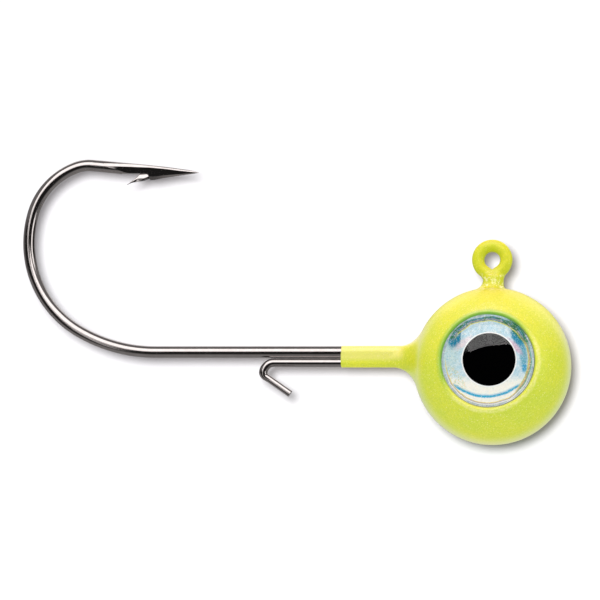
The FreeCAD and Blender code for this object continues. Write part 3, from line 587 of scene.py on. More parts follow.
def foil_material():
    """Holographic film: pale silver. Its rainbow arcs that follow the dome's rim are painted colour
    fringes of light bent by the dome, and its green and teal at the top a painted reflection of the
    green paint.
    """
    graph = material_graph("holographic_foil")
    place = graph.place()
    x, _, z = graph.parts(place)
    u, v = graph.from_eye(x, z)
    # slow wobble so that no edge is a perfect line
    wobble = (graph.noise(place, scale=1.1) - 0.5) * 0.22
    grain = graph.noise(place, scale=7.5, detail=3.0, rough=0.65)
    fine = graph.noise(place, scale=17.0, rough=0.6)
    cloud = graph.noise(place, scale=3.2)
    _, randoms = graph.specks(place, scale=11.0)
    radius = graph.radius(u, v) + wobble

    def patch(centre_u, centre_v, half_length, half_width, turn, soft):
        cos, sin = math.cos(turn), math.sin(turn)
        du = u - centre_u
        dv = v - centre_v
        along = (du * cos + dv * sin) / half_length
        across = (dv * cos - du * sin) / half_width
        distance = graph.radius(along, across) + (grain - 0.5) * 0.9
        return distance.fall(1.0 - soft, 1.0 + soft)

    col = graph.mix(cloud.ramp(0.35, 0.65), (0.50, 0.70, 0.79), (0.70, 0.80, 0.84))
    # lower half: warm white
    col = col.mix(v.ramp(-0.8, -1.8, high=0.97), (0.98, 0.93, 0.83))
    # -X side: silver green
    col = col.mix(u.ramp(-1.7, -2.6, high=0.65) * v.ramp(-1.6, 0.2), (0.55, 0.72, 0.69))
    # deep teal at the upper -X side, a painted reflection of the green paint, cut off upright; then
    # the other patches
    teal = patch(-2.34, 1.72, half_length=0.84, half_width=0.62, turn=0.95, soft=0.35)
    col = col.mix(teal * u.ramp(-1.97, -2.05), (0.004, 0.22, 0.36))
    for *shape, strength, colour in FOIL_PATCHES:
        amount = patch(*shape)
        col = col.mix(amount if strength is None else amount * strength, colour)
    # painted colour fringes of light bent by the dome's edge: arcs along the upper rim
    top = v.ramp(1.3, 2.2)
    green_blue = graph.mix(cloud.ramp(0.44, 0.56), (0.05, 0.20, 0.08), (0.07, 0.26, 0.34))
    col = col.mix(top * radius.band(3.00, 3.37, soft=0.04), green_blue)
    rose = top * radius.band(3.10, 3.15, soft=0.03) * cloud.ramp(0.42, 0.52)
    col = col.mix(rose, (0.60, 0.35, 0.30))
    col = col.mix(top * radius.band(2.93, 3.01, soft=0.03), (0.72, 0.66, 0.10))
    # painted colour fringe of light bent by the dome's edge: flat blue arc across the bottom, struck
    # from its own centre
    flat = graph.radius(u + 0.10, v - 1.26) + wobble * 0.5
    flat = flat + (fine - 0.5) * 0.10
    low = v.ramp(-1.60, -1.95)
    col = col.mix(low * flat.band(3.82, 4.02, soft=0.05), (0.025, 0.40, 0.66))
    col = col.mix(low * (flat.band(3.74, 3.84, soft=0.05) * 0.5), (0.30, 0.60, 0.72))
    # painted colour fringes: a yellow and a violet line under it
    col = col.mix(v.ramp(0.4, -0.6) * radius.band(3.15, 3.22, soft=0.03), (0.86, 0.66, 0.10))
    col = col.mix(v.ramp(-0.6, -1.6) * radius.band(3.22, 3.27, soft=0.03), (0.30, 0.22, 0.40))
    # painted colour fringes: yellow, orange and green arcs on the +X side
    side = u.ramp(1.9, 2.5) * v.ramp(2.0, 1.0)
    col = col.mix(side * radius.band(2.98, 3.08, soft=0.04), (0.62, 0.60, 0.10))
    col = col.mix(side * radius.band(3.09, 3.17, soft=0.04), (0.62, 0.26, 0.10))
    col = col.mix(side * radius.band(3.17, 3.30, soft=0.04) * 0.8, (0.10, 0.36, 0.22))
    # outermost ring, grey blue: painted reflection of what the dome's steep wall shows
    edge = graph.mix(grain.ramp(0.4, 0.6), (0.40, 0.47, 0.51), (0.56, 0.64, 0.68))
    col = col.mix((radius - top * 0.08).ramp(3.31, 3.38), edge)
    # grain: every speck of the film answers in its own tint, less so in the lower half
    hue = graph.mix(randoms[1].ramp(0.0, 1.0), (0.45, 0.78, 0.92), (1.0, 0.80, 0.62))
    calm = v.ramp(-0.8, -1.7, low=1.0, high=0.45)
    col = col.mix(calm * randoms[0].ramp(0.62, 0.95, high=0.55), col.tint(hue))
    col = col.mix(calm * grain.ramp(0.35, 0.65, high=0.34), col.tint((0.58, 0.72, 0.82)))
    # gold and green specks low on the -X side
    warm = patch(-2.35, -1.30, half_length=1.05, half_width=0.42, turn=-0.95, soft=0.5)
    warm = warm * randoms[2].ramp(0.55, 0.75)
    gold_green = graph.mix(randoms[1].ramp(0.4, 0.6), (0.80, 0.55, 0.12), (0.30, 0.50, 0.20))
    col = col.mix(warm * 0.55, gold_green)
    col = col.mix(fine.ramp(0.55, 0.68, high=0.50), (1.0, 1.0, 1.0))
    normal = graph.bump(grain, strength=0.2, distance_mm=0.02)
    rough = grain.ramp(0.3, 0.7, low=0.35, high=0.55)
    return graph.principled(col, rough, normal, Specular_IOR_Level=0.2)


def print_material(name, colour, vary):
    """Matt ink that varies between a colour and that colour times vary."""
    graph = material_graph(name)
    grain = graph.noise(graph.place(), scale=9.0)
    base = graph.mix(grain.ramp(0.3, 0.7), colour, tuple(c * vary for c in colour))
    normal = graph.bump(grain, strength=0.1, distance_mm=0.005)
    rough = grain.ramp(0.3, 0.7, low=0.5, high=0.65)
    return graph.principled(base, rough, normal, Specular_IOR_Level=0.0)


def lens_material():
    """Clear resin whose reflection is trimmed to one softbox; it casts no shadow."""
    ior = 1.5
    graph = material_graph("clear_dome_resin")
    place = graph.place()
    speck = graph.noise(place, scale=6.2, detail=3.0, rough=0.75)
    peel = graph.noise(place, scale=1.6)
    # the mirrored direction in camera axes
    geometry = graph.node("ShaderNodeNewGeometry").outputs
    mirrored = graph.value(
        "ShaderNodeVectorMath", {0: geometry["Incoming"], 1: geometry["Normal"]}, "Vector",
        operation="REFLECT")
    mirrored = graph.scaled(mirrored, -1.0)
    right, up, back = (graph.dot(mirrored, axis) for axis in (RIGHT, UP, -FORWARD))
    # the dome answers to the softbox above a slanting lower edge only
    height = (up - right * 0.15) / back.maximum(0.02)
    keep = height.ramp(0.595, 0.630).maximum(back.ramp(0.0, -0.05))
    # and between two edges at -X and +X
    x, _, z = graph.parts(place)
    u, v = graph.from_eye(x, z)
    edges = u.ramp(-2.12, -1.98) * (u + v * 0.4).ramp(2.70, 2.50)
    keep = keep * edges.ramp(0.0, 1.0, low=0.22)
    tone = speck.ramp(0.40, 0.60, low=0.70, high=1.26)
    gloss = graph.value("ShaderNodeBsdfAnisotropic", {
        "Roughness": 0.03, "Color": graph.combine([keep.ramp(0.0, 1.0) * tone] * 3),
        "Normal": graph.bump(peel, strength=0.08, distance_mm=0.02)})
    fresnel = graph.value("ShaderNodeFresnel", {"IOR": ior})
    refraction = graph.value("ShaderNodeBsdfRefraction", {
        "IOR": ior, "Roughness": 0.0, "Color": (0.985, 0.995, 1.0)})
    resin = graph.mix_shader(fresnel, refraction, gloss)
    clear = graph.value("ShaderNodeBsdfTransparent")
    rays = graph.node("ShaderNodeLightPath").outputs
    unseen = graph.math("MAXIMUM", rays["Is Shadow Ray"], rays["Is Diffuse Ray"])
    return graph.finish(graph.mix_shader(unseen, resin, clear))


PAINT = paint_material()
HOOK_NICKEL = nickel_material("black_nickel_hook")
KEEPER_NICKEL = nickel_material("black_nickel_keeper")
LEAD = lead_material()
ADHESIVE = adhesive_material()
FOIL = foil_material()
WHITE = print_material("white_print", (0.93, 0.93, 0.92), 0.93)
BLACK = print_material("black_print", (0.0006, 0.0006, 0.0008), 0.6)
RESIN = lens_material()


# ---------------------------------------------------------------- hook: one bent wire, ring to point
TIE_R = 1.125
TIE_START = 242     # degrees round the ring, anticlockwise from +X
ELBOW_R = 1.5
# bend: radius and clockwise turn in degrees of each arc, from the shank on
BEND = ((12.51, 30.65), (8.47, 74.95), (5.58, 53.9), (3.14, 26.09))

# ground point, one row per distance along it. Heights are left of the heading (up), edges are
# (height, half width): distance, top, edge of the upper flat, upper edge of the side flat,
# lower edge of the side flat, underside
GROUND = (
    (1.05, 0.475, 0.223, 0.4194, 0.015, 0.4748, -0.030, 0.4741, -0.475),
    (2.00, 0.475, 0.290, 0.3762, 0.060, 0.4550, -0.190, 0.4354, -0.478),
    (2.85, 0.475, 0.345, 0.3265, 0.115, 0.4200, -0.370, 0.298, -0.530),
    (3.80, 0.475, 0.365, 0.3040, 0.170, 0.3700, -0.420, 0.235, -0.640),
    (4.86, 0.468, 0.360, 0.2950, 0.225, 0.3500, -0.470, 0.160, -0.745),
    (6.00, 0.449, 0.345, 0.2400, 0.235, 0.2800, -0.270, 0.130, -0.468),
    (7.20, 0.392, 0.310, 0.1650, 0.210, 0.1950, -0.060, 0.100, -0.178),
    (8.05, 0.350, 0.285, 0.0820, 0.212, 0.1000, 0.090, 0.050, 0.028),
    (8.70, 0.235, 0.228, 0.0120, 0.216, 0.0160, 0.200, 0.008, 0.186),
    (8.765, 0.222, 0.219, 0.0040, 0.214, 0.0060, 0.208, 0.004, 0.203),
)
GROUND_START = GROUND[0][0]
POINT_LENGTH = GROUND[-1][0]
# steps round half a section: top arc, upper flat, side flat, underside
TOP_STEPS, UPPER_STEPS, SIDE_STEPS, UNDER_STEPS = 16, 10, 8, 14
HALF_STEPS = TOP_STEPS + UPPER_STEPS + SIDE_STEPS + UNDER_STEPS
HOOK_SEGS = 2 * HALF_STEPS

# outline (x, z) of the scoop cut from the underside behind the barb
SCOOP = ((-30.50, 6.93), (-30.148, 7.148), (-28.10, 7.136), (-27.93, 6.90), (-27.82, 6.48),
         (-30.50, 6.38))
# barb sliver: x; heights of top edge, ridge, lower ridge and bottom edge; half widths of top,
# ridge and bottom
SLIVER = (
    (-29.737, 6.236, 6.228, 6.220, 6.212, 0.009, 0.013, 0.001),
    (-29.560, 6.378, 6.345, 6.325, 6.300, 0.017, 0.021, 0.006),
    (-29.387, 6.512, 6.462, 6.430, 6.388, 0.024, 0.029, 0.012),
    (-29.180, 6.670, 6.575, 6.545, 6.435, 0.039, 0.047, 0.020),
    (-29.000, 6.812, 6.670, 6.630, 6.470, 0.046, 0.060, 0.028),
    (-28.830, 6.955, 6.740, 6.690, 6.495, 0.048, 0.073, 0.040),
    (-28.600, 7.210, 6.760, 6.690, 6.525, 0.054, 0.114, 0.060),
    (-28.300, 7.300, 6.760, 6.690, 6.580, 0.065, 0.145, 0.070),
    (-28.000, 7.330, 6.880, 6.790, 6.690, 0.080, 0.150, 0.075),
    (-27.760, 7.330, 7.060, 6.990, 6.780, 0.080, 0.110, 0.040),
)


def between_rows(table, x):
    """Smooth curve through (x, y...) rows that never overshoots them."""
    xs = np.array([row[0] for row in table])
    h = np.diff(xs)
    i = int(np.clip(np.searchsorted(xs, x, side="right") - 1, 0, len(h) - 1))
    t = min(max((x - xs[i]) / h[i], 0.0), 1.0)
    found = []
    for column in range(1, len(table[0])):
        ys = np.array([row[column] for row in table])
        slopes = np.diff(ys) / h
        m = np.zeros(len(xs))
        m[0], m[-1] = slopes[0], slopes[-1]
        for k in range(1, len(xs) - 1):
            if slopes[k - 1] * slopes[k] > 0:
                before, after = 2 * h[k] + h[k - 1], h[k] + 2 * h[k - 1]
                m[k] = (before + after) / (before / slopes[k - 1] + after / slopes[k])
        found.append((1 + 2 * t) * (1 - t) ** 2 * ys[i] + t * (1 - t) ** 2 * h[i] * m[i]
                     + t * t * (3 - 2 * t) * ys[i + 1] + t * t * (t - 1) * h[i] * m[i + 1])
    return found


def ease(start, end, x):
    t = min(max((x - start) / (end - start), 0.0), 1.0)
    return t * t * (3 - 2 * t)


def ground_half(distance):
    """Half of the section from the top to the underside, as rows (height, half width)."""
    top, w1, y1, w2, y2, w3, y3, under = between_rows(GROUND, distance)
    # arc centred on the middle line, through the top and the edge of the upper flat
    centre = (top * top - w1 * w1 - y1 * y1) / (2 * (top - w1))
    t = np.linspace(0, 1, TOP_STEPS + 1) * math.atan2(y1, w1 - centre)
    crown = np.c_[centre + (top - centre) * np.cos(t), (top - centre) * np.sin(t)]
    t = np.linspace(0, 1, UPPER_STEPS + 1)[1:, None]
    upper = np.array([w1, y1]) * (1 - t) + np.array([w2, y2]) * t
    t = np.linspace(0, 1, SIDE_STEPS + 1)[1:, None]
    flat = np.array([w2, y2]) * (1 - t) + np.array([w3, y3]) * t
    # the underside turns from an arc into two straight faces
    centre = (under * under - w3 * w3 - y3 * y3) / (2 * (under - w3))
    turn = math.atan2(y3, centre - w3)
    t = np.linspace(0, 1, UNDER_STEPS + 1)[1:]
    arc = np.c_[centre - (centre - under) * np.cos(turn * (1 - t)),
                (centre - under) * np.sin(turn * (1 - t))]
    line = np.c_[w3 + (under - w3) * t, y3 * (1 - t)]
    k = ease(2.2, 3.2, distance)
    return np.concatenate([crown, upper, flat, arc * (1 - k) + line * k])


def hook_path():
    """The wire's middle line, and the index where the straight point begins."""
    start = math.radians(TIE_START)
    path = Path((TIE_R * math.cos(start), TIE_R * math.sin(start)), TIE_START - 90)
    path.arc(TIE_R, -302, 4.0)
    path.arc(TIE_R, 60, 4.0)
    path.line(path.point[1] - (SHANK_Z + ELBOW_R), 0.6)
    path.arc(ELBOW_R, -90, 4.0)
    path.line(path.point[0] - SHANK_END_X, 0.9)
    for radius, turn in BEND:
        path.arc(radius, -turn, 1.0 if radius > 4 else 2.0)
    point_start = len(path.points) - 1
    path.line(POINT_LENGTH, 0.06)
    return path, point_start


def sliver_rings():
    rings = []
    for x, top, ridge, low_ridge, bottom, half_top, half_ridge, half_bottom in SLIVER:
        # the top edge is broken by a narrow bevel
        bevel = min(0.05, 0.45 * (top - ridge))
        side = [(max(half_top - 0.84 * bevel, 0.003), top), (half_top, top - bevel),
                (half_ridge, ridge), (half_ridge - 0.012, low_ridge), (half_bottom, bottom)]
        rings.append([(x, y, z) for y, z in side] + [(x, -y, z) for y, z in side[::-1]])
    return rings


def build_hook():
    path, point_start = hook_path()
    point_steps = len(path.points) - 1 - point_start
    # angles of the first ground section, which the round wire's points move to
    ground_angles = np.arctan2(*ground_half(GROUND_START).T[::-1])

    def section(i, point, angles):
        if i <= point_start:
            # slimmer where the paint and the lead bury it
            radius = WIRE_R - 0.055 * ease(-2.4, -1.2, point[0]) * ease(-6.5, -4.5, point[1])
            return np.cos(angles) * radius, np.sin(angles) * radius
        distance = (i - point_start) / point_steps * POINT_LENGTH
        if distance < GROUND_START:
            share = distance / GROUND_START
            turn = np.linspace(0, math.pi, HALF_STEPS + 1) * (1 - share) + ground_angles * share
            half = np.c_[WIRE_R * np.cos(turn), WIRE_R * np.sin(turn)]
        else:
            half = ground_half(distance)
        half[0, 1] = half[-1, 1] = 0.0
        full = np.concatenate([half, half[-2:0:-1] * np.array([1.0, -1.0])])
        return full[:, 0], full[:, 1]

    hook = raw_object("hook_wire", *sweep(
        path, section, HOOK_SEGS, [(0.94, 0.02), (0.8, 0.03)], [(0.6, 0.006), (0.2, 0.010)]))
    # the ground flats have crisp edges all along
    first = point_start + int(math.ceil(GROUND_START / POINT_LENGTH * point_steps))
    creases = np.cumsum((TOP_STEPS, UPPER_STEPS, SIDE_STEPS)).tolist()
    creases += [HOOK_SEGS - j for j in creases]
    crisp = {(i * HOOK_SEGS + j, (i + 1) * HOOK_SEGS + j)
             for i in range(first, len(path.points) - 1) for j in creases}
    bm = bmesh.new()
    bm.from_mesh(hook.data)
    for edge in bm.edges:
        if tuple(sorted(vert.index for vert in edge.verts)) in crisp:
            edge.smooth = False
    bm.to_mesh(hook.data)
    bm.free()
    hook.data.polygons.foreach_set("use_smooth", [True] * len(hook.data.polygons))
    # the barb: a scoop is cut from the underside and a sliver is left standing from it
    scoop = loft([[(x, y, z) for x, z in SCOOP] for y in (-1.0, 1.0)])
    combine(hook, raw_object("scoop", *scoop), "DIFFERENCE")
    combine(hook, raw_object("sliver", *loft(sliver_rings())), "UNION")
    finish_object(hook, HOOK_NICKEL, 13, "hook", "black_nickel")


build_hook()


# ---------------------------------------------------------------- keeper
KEEPER_START = (-1.9, -10.2)    # x, z, inside the ball
KEEPER_CORNER_R = 0.8
KEEPER_TURN_X = -17.501         # where the straight run ends
KEEPER_TIP_X = -16.215


def keeper_section(i, point, angles):
    # the free arm is drawn thinner from its lower side
    thin = ease(9.0, 9.7, -point[1]) if point[0] < -12.0 else 0.0
    radius = KEEPER_R * (1 - 0.20 * thin)
    return np.cos(angles) * radius + (KEEPER_R - radius), np.sin(angles) * radius


def build_keeper():
    path = Path(KEEPER_START, 90)
    path.line(KEEPER_Z - KEEPER_CORNER_R - KEEPER_START[1], 0.3)
    path.arc(KEEPER_CORNER_R, 90, 5.0)
    path.line(path.point[0] - KEEPER_TURN_X, 0.8)
    path.arc(0.88, 80.0, 2.5)
    path.arc(0.5, 65.4, 3.0)
    path.line((KEEPER_TIP_X - path.point[0]) / math.cos(path.heading), 0.15)
    verts, faces = sweep(path, keeper_section, 72, [(0.96, 0.012), (0.88, 0.016)],
                         [(0.975, 0.004), (0.93, 0.010), (0.86, 0.012)])
    keeper = raw_object("keeper_bent_wire", verts, faces)
    finish_object(keeper, KEEPER_NICKEL, 50, "keeper_wire", "black_nickel")


build_keeper()


# ---------------------------------------------------------------- paint skin
COLLAR_LOW_R, COLLAR_HIGH_R = 0.395, 0.492      # round the keeper and round the shank
COLLAR_END = -4.0                               # inside the ball
NECK_X, NECK_R = 0.095, 0.824
NECK_Z, NECK_HALF = -3.1, 1.95
RING_X, RING_Z, RING_R, RING_TUBE = -0.015, 0.03, 1.112, 0.508
SOCKET_R, SOCKET_FLOOR = 3.668, 4.452           # the floor is a distance from the XZ plane
HOLE_R, HOLE_TIP = 0.618, 0.80                  # round hole with a V that ends below it


def round_union(a, b, r):
    return (np.maximum(r, np.minimum(a, b))
            - np.sqrt(np.maximum(r - a, 0) ** 2 + np.maximum(r - b, 0) ** 2))


def round_cut(a, b, r):
    """a with b taken away."""
    b = -b
    return (np.minimum(-r, np.maximum(a, b))
            + np.sqrt(np.maximum(r + a, 0) ** 2 + np.maximum(r + b, 0) ** 2))


def round_common(a, b, r):
    """What a and b share, with its edges rounded."""
    a, b = a + r, b + r
    return (np.minimum(np.maximum(a, b), 0)
            + np.sqrt(np.maximum(a, 0) ** 2 + np.maximum(b, 0) ** 2) - r)


def collar_distance(x, y, z):
    """Both wires wrapped together: two circles with a skin stretched over them."""
    spacing = SHANK_Z - KEEPER_Z
    out, up = np.abs(y), z - KEEPER_Z
    sin = (COLLAR_LOW_R - COLLAR_HIGH_R) / spacing
    cos = math.sqrt(1 - sin * sin)
    k = -sin * out + cos * up
    low = np.sqrt(out * out + up * up) - COLLAR_LOW_R
    high = np.sqrt(out * out + (up - spacing) ** 2) - COLLAR_HIGH_R
    flank = cos * out + sin * up - COLLAR_LOW_R
    outline = np.where(k < 0, low, np.where(k > cos * spacing, high, flank))
    middle, half = 0.5 * (COLLAR_X + COLLAR_END), 0.5 * (COLLAR_END - COLLAR_X)
    return round_common(outline, np.abs(x - middle) - half, 0.10)


def hole_distance(x, z):
    """The line-tie hole, with tangents from the circle to the tip of its V."""
    out, down = np.abs(x), -z
    alpha = math.asin(HOLE_R / HOLE_TIP)
    tangent = math.cos(alpha) * out + math.sin(alpha) * (down - HOLE_TIP)
    in_sector = np.arctan2(out, down) < (math.pi / 2 - alpha)
    return np.where(in_sector & (down > 0), tangent, np.sqrt(out * out + down * down) - HOLE_R)


def skin(x, y, z):
    """Distance to the outside of the paint, negative inside."""
    ball = np.sqrt((x - BALL_X) ** 2 + y * y + (z - BALL_Z) ** 2) - BALL_R
    # the fillet of the collar is tighter above and wider on the flanks
    above = np.clip((z + 7.77) / 1.7 + 0.5, 0, 1)
    flank = y * y / np.maximum(y * y + (z + 7.85) ** 2, 1e-6)
    body = round_union(ball, collar_distance(x, y, z), 1.65 - 0.35 * above + 0.60 * flank)
    from_neck = np.sqrt((x - NECK_X) ** 2 + y * y)
    neck = round_common(from_neck - NECK_R, np.abs(z - NECK_Z) - NECK_HALF, 0.30)
    from_ring = np.sqrt((x - RING_X) ** 2 + (z - RING_Z) ** 2) - RING_R
    ring = np.sqrt(from_ring * from_ring + y * y) - RING_TUBE
    tie = round_union(ring, neck, 0.27)
    # the fillet of the neck is tighter on the +X side
    side = np.clip((x - NECK_X) / np.maximum(from_neck, 0.3), -1, 1)
    body = round_union(body, tie, 0.50 - 0.22 * side)
    from_eye = np.sqrt((x - BALL_X) ** 2 + (z - BALL_Z) ** 2)
    socket = round_common(from_eye - SOCKET_R, SOCKET_FLOOR - np.abs(y), 0.08)
    body = round_cut(body, socket, 0.40)
    return np.where(z > -1.6, round_cut(body, hole_distance(x, z), 0.05), body)


def turned(verts, quads, sign):
    """Quads turned outward for sign 1, inward for -1."""
    corners = [verts[quads[:, i]] for i in range(4)]
    volume = sum(np.einsum("ij,ij->i", corners[0], np.cross(corners[a], corners[b])).sum()
                 for a, b in ((1, 2), (2, 3)))
    return quads if volume * sign > 0 else quads[:, ::-1]


def quad_mesh(name, verts, quads):
    """Large mesh of quads, without going through python lists."""
    mesh = bpy.data.meshes.new(name)
    verts = np.ascontiguousarray(verts, dtype=np.float32) * MM
    quads = np.ascontiguousarray(quads, dtype=np.int32)
    mesh.vertices.add(len(verts))
    mesh.vertices.foreach_set("co", verts.ravel())
    mesh.loops.add(quads.size)
    mesh.loops.foreach_set("vertex_index", quads.ravel())
    mesh.polygons.add(len(quads))
    mesh.polygons.foreach_set("loop_start", np.arange(0, quads.size, 4, dtype=np.int32))
    mesh.polygons.foreach_set("loop_total", np.full(len(quads), 4, dtype=np.int32))
    mesh.polygons.foreach_set("use_smooth", np.ones(len(quads), dtype=bool))
    mesh.update(calc_edges=True)
    mesh.validate()
    return mesh


def build_paint():
    """The coat: an outer surface, and a coarser inner one that looks inward."""
    margin = 0.2
    low = (COLLAR_X - margin, -BALL_R - margin, COAT_LOW[2] - margin)
    high = (COAT_HIGH[0] + margin, BALL_R + margin, COAT_HIGH[2] + margin)
    outer, outer_quads = surface(skin, low, high, cell=0.085)
    inner, inner_quads = surface(skin, low, high, cell=0.17, level=-0.045)
    quads = np.concatenate([turned(outer, outer_quads, 1),
                            turned(inner, inner_quads, -1) + len(outer)])
    mesh = quad_mesh("paint_skin", np.concatenate([outer, inner]), quads)
    paint = link_object("paint_skin", mesh)
    mesh.materials.append(PAINT)
    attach(paint, "root")
    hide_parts("powder_coat")
    paint.visible_glossy = False
    return paint


paint = build_paint()


# ---------------------------------------------------------------- eyes
LENS_R = 3.64
CROWN_R = 6.24
SHOULDER_R = 0.26
FOOT_R = 0.05
FOIL_R = 3.60
HALO_R = (HALO_HIGH[0] - HALO_LOW[0]) / 2
PUPIL_R = (PUPIL_HIGH[0] - PUPIL_LOW[0]) / 2 + 0.045
PUPIL_CENTRE = 0.5 * (PUPIL_LOW + PUPIL_HIGH)


def lens_profile():
    """Flat back, short wall, rounded shoulder, crown."""
    back, apex = LENS_LOW[1] - 0.002, LENS_HIGH[1]
    points = [(r, back) for r in (0.0, 1.2, 2.4, 3.2, LENS_R - FOOT_R)]
    for i in range(1, 6):
        t = math.pi / 2 * i / 6
        points.append((LENS_R - FOOT_R + FOOT_R * math.sin(t),
                       back + FOOT_R - FOOT_R * math.cos(t)))
    # shoulder circle tangent to the wall and to the crown
    crown_y = apex - CROWN_R
    shoulder = LENS_R - SHOULDER_R
    shoulder_y = crown_y + math.sqrt((CROWN_R - SHOULDER_R) ** 2 - shoulder ** 2)
    points.append((LENS_R, back + FOOT_R))
    points.append((LENS_R, 0.5 * (back + shoulder_y)))
    meet = math.atan2(shoulder_y - crown_y, shoulder)
    for i in range(13):
        t = meet * i / 12
        points.append((shoulder + SHOULDER_R * math.cos(t), shoulder_y + SHOULDER_R * math.sin(t)))
    for i in range(1, 40):
        t = meet + (math.pi / 2 - meet) * i / 40
        points.append((CROWN_R * math.cos(t), crown_y + CROWN_R * math.sin(t)))
    points.append((0.0, apex))
    return points


def disc_profile(back, front, r):
    """Thin disc; back and front are measured from the foil's CAD face."""
    bevel = 0.004
    return [(0.0, back), (r * 0.5, back), (r - bevel, back), (r, back + bevel),
            (r, front - bevel), (r - bevel, front), (r * 0.5, front), (0.0, front)]


def build_eyes():
    face = FOIL_HIGH[1]
    ball = (BALL_X, BALL_Z)
    pupil = (PUPIL_CENTRE[0], PUPIL_CENTRE[2])
    # object, profile, centre (x, z), segments, material, CAD node, slot
    parts = (
        ("dome_lens", lens_profile(), ball, 160, RESIN, "lens", "clear_resin"),
        ("foil_disc", disc_profile(FOIL_LOW[1] + 0.001, face + 0.004, FOIL_R),
         ball, 128, FOIL, "foil", "foil"),
        ("halo_print", disc_profile(face + 0.002, face + 0.016, HALO_R),
         pupil, 128, WHITE, "halo", "white_print"),
        ("pupil_print", disc_profile(face + 0.010, face + 0.022, PUPIL_R),
         pupil, 128, BLACK, "pupil", "black_print"),
    )
    for side, sign in (("right", -1), ("left", 1)):
        for name, profile, centre, segs, material, node, slot in parts:
            ob = raw_object(f"{side}_{name}", *lathe(profile, *centre, sign, segs))
            finish_object(ob, material, 40, f"{side}_eye_{node}", slot)


build_eyes()

# CAD pieces that keep their shape
for node, material in (("lead_head", LEAD), ("right_eye_adhesive", ADHESIVE),
                       ("left_eye_adhesive", ADHESIVE)):
    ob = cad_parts[node]
    ob.data.materials.clear()
    ob.data.materials.append(material)


# ---------------------------------------------------------------- world
def build_world():
    """White to the camera, an even light to matt surfaces, a studio of panels to shiny ones."""
    world = bpy.data.worlds.new("studio")
    bpy.context.scene.world = world
    graph = Graph(world, "ShaderNodeOutputWorld")
    direction = graph.value("ShaderNodeTexCoord", output="Generated")
    right, up, back = (graph.dot(direction, axis) for axis in (RIGHT, UP, -FORWARD))
    # elevation, and azimuth from the camera's side round to the right
    azimuth = graph.math("ARCTAN2", right, back)
    elevation = graph.math("ARCSINE", up)

    def panel(normal, across, along, soft):
        """A flat light: its normal in camera axes, and its limits in its plane at distance 1."""
        normal = np.array(normal, float)
        normal /= np.linalg.norm(normal)
        level = np.cross([0, 1, 0], normal)
        level /= np.linalg.norm(level)

        def component(axis):
            return right * float(axis[0]) + up * float(axis[1]) + back * float(axis[2])

        facing = component(normal)
        depth = facing.maximum(0.001)
        u = component(level) / depth
        v = component(np.cross(normal, level)) / depth
        return u.band(*across, soft) * v.band(*along, soft) * facing.ramp(0.01, 0.05)

    def zone(angle, start, end, soft):
        return angle.band(*map(math.radians, (start, end, soft)))

    def window(elevations, azimuths):
        """1 inside limits in degrees, each (start, end, softness)."""
        return zone(elevation, *elevations) * zone(azimuth, *azimuths)

    def degrees(*angles):
        return [math.radians(a) for a in angles]

    front = panel((0, math.sqrt(0.5), math.sqrt(0.5)), across=(-0.82, 0.50),
                  along=(math.tan(math.radians(17 - 45)), 0.36), soft=0.03)
    rear = panel((0.1, 0.6, -0.8), across=(-0.7, 0.7), along=(-0.35, 0.35), soft=0.08)
    # two upright strips of light, the left one in three pieces
    lobe = window((7, 17, 2.0), (-27, -12, 2.0)).maximum(window((-8, 17, 3.0), (-27, -21, 2.0)))
    left_strip = lobe * 1.45 + window((-32, -9, 3.0), (-36, -28, 2.0)) * 0.9
    right_strip = window((-7, 26, 4.0), (50, 74, 3.0)) * 2.1
    strips = left_strip + right_strip
    # the dark room round the camera
    gaps = zone(elevation, -8, 17, 3.0) * (
        azimuth.ramp(*degrees(-130, -58)) * azimuth.fall(*degrees(116, 124)))
    low = elevation.ramp(*degrees(-62, -32)) * elevation.fall(*degrees(-8, 0))
    dark = (low * zone(azimuth, -72, 55, 14.0)).maximum(gaps)
    grey = up.ramp(-0.6, 0.8, low=0.34, high=0.25, kind="LINEAR") * (1.0 - dark * 0.93)
    light = grey + (front * 2.3).maximum(strips) + rear * 0.9
    studio = graph.combine([light * share for share in (1.0, 0.98, 0.975)])
    # matt surfaces: warm from above, and warm again from the white ground below;
    # per channel: everywhere, from above, from below
    sky = up.maximum(0.0)
    ground = (up * -1.0).maximum(0.0)
    even = graph.combine([
        base + (sky * above + ground * below) for base, above, below in (
            (0.54, 1.40, 0.80), (0.86, 0.50, 0.26), (0.86, 0.45, 0.25))])
    rays = graph.node("ShaderNodeLightPath").outputs
    colour = graph.mix(rays["Is Diffuse Ray"], studio, even)
    colour = colour.mix(rays["Is Camera Ray"], (1.0, 1.0, 1.0))
    graph.finish(graph.value("ShaderNodeBackground", {"Color": colour, "Strength": 1.0}))
    world.cycles.sampling_method = "NONE"


# ---------------------------------------------------------------- stage, lamps, camera
SHEET_Y = 6.32
SHEET_HALF = 34.0


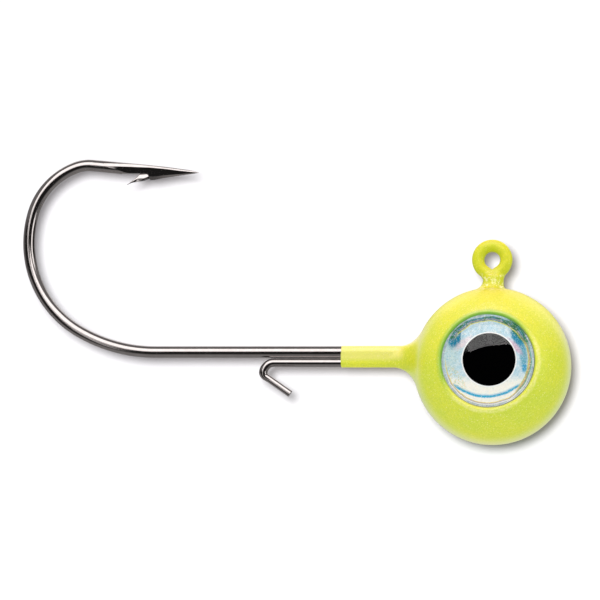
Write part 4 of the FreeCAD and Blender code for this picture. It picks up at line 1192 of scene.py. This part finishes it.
def build_sheet():
    """White sheet behind the object, seen by the camera only and clear from its back."""
    centre = CAMERA + FORWARD * ((SHEET_Y - CAMERA[1]) / FORWARD[1])
    corners = [centre + np.array([a, 0.0, b]) * SHEET_HALF
               for a, b in ((-1, -1), (1, -1), (1, 1), (-1, 1))]
    mesh = bpy.data.meshes.new("white_sheet")
    mesh.from_pydata([tuple(c * MM) for c in corners], [], [(0, 1, 2, 3)])
    mesh.update()
    sheet = link_object("white_sheet", mesh)
    graph = material_graph("white_sheet_paper")
    fibre = graph.noise(graph.place(), scale=1.5)
    paper = graph.value("ShaderNodeBsdfDiffuse", {
        "Color": graph.mix(fibre, (0.298, 0.287, 0.302), (0.304, 0.293, 0.308))})
    clear = graph.value("ShaderNodeBsdfTransparent")
    backfacing = graph.node("ShaderNodeNewGeometry").outputs["Backfacing"]
    mesh.materials.append(graph.finish(graph.mix_shader(backfacing, paper, clear)))
    for kind in ("glossy", "diffuse", "transmission", "shadow"):
        setattr(sheet, "visible_" + kind, False)
    return sheet


def add_lamp(name, kind, towards, receivers, lit, **settings):
    """A lamp that lies in the direction towards and lights one object only."""
    data = bpy.data.lights.new(name, kind)
    for key, setting in settings.items():
        setattr(data, key, setting)
    lamp = link_object(name, data)
    lamp.rotation_mode = "QUATERNION"
    lamp.rotation_quaternion = Vector(towards).to_track_quat("Z", "Y")
    only = bpy.data.collections.new(receivers)
    only.objects.link(lit)
    lamp.light_linking.receiver_collection = only
    return lamp


def build_camera():
    data = bpy.data.cameras.new("camera")
    data.sensor_width = 36.0
    data.lens = 225.0
    data.clip_start = 0.01
    data.clip_end = 10.0
    camera = bpy.data.objects.new("camera", data)
    rows = np.c_[RIGHT, UP, -FORWARD, CAMERA * MM].tolist()
    camera.matrix_world = Matrix([*rows, (0, 0, 0, 1)])
    bpy.context.scene.collection.objects.link(camera)
    bpy.context.scene.camera = camera


view = bpy.context.scene.view_settings
view.view_transform = "Standard"
view.look = "None"
view.exposure = 0.0
view.gamma = 1.0
build_world()
sheet = build_sheet()
# soft disc beside the camera: every shadow falls the same small step to the lower right
shadow_lamp = add_lamp("shadow_lamp", "AREA", -FORWARD, "sheet_only", sheet,
                       shape="DISK", size=0.046, energy=2.55, color=(0.985, 1.015, 0.99))
shadow_lamp.location = tuple((CAMERA - RIGHT * 20.5 + UP * 20.0) * MM)
shadow_lamp.visible_glossy = False
# broad light from above on the paint
add_lamp("head_lamp", "SUN", UP * 0.95 - FORWARD * 0.32 - RIGHT * 0.12, "head_only", paint,
         energy=0.85, angle=math.radians(55), color=(0.93, 0.68, 1.55))
build_camera()
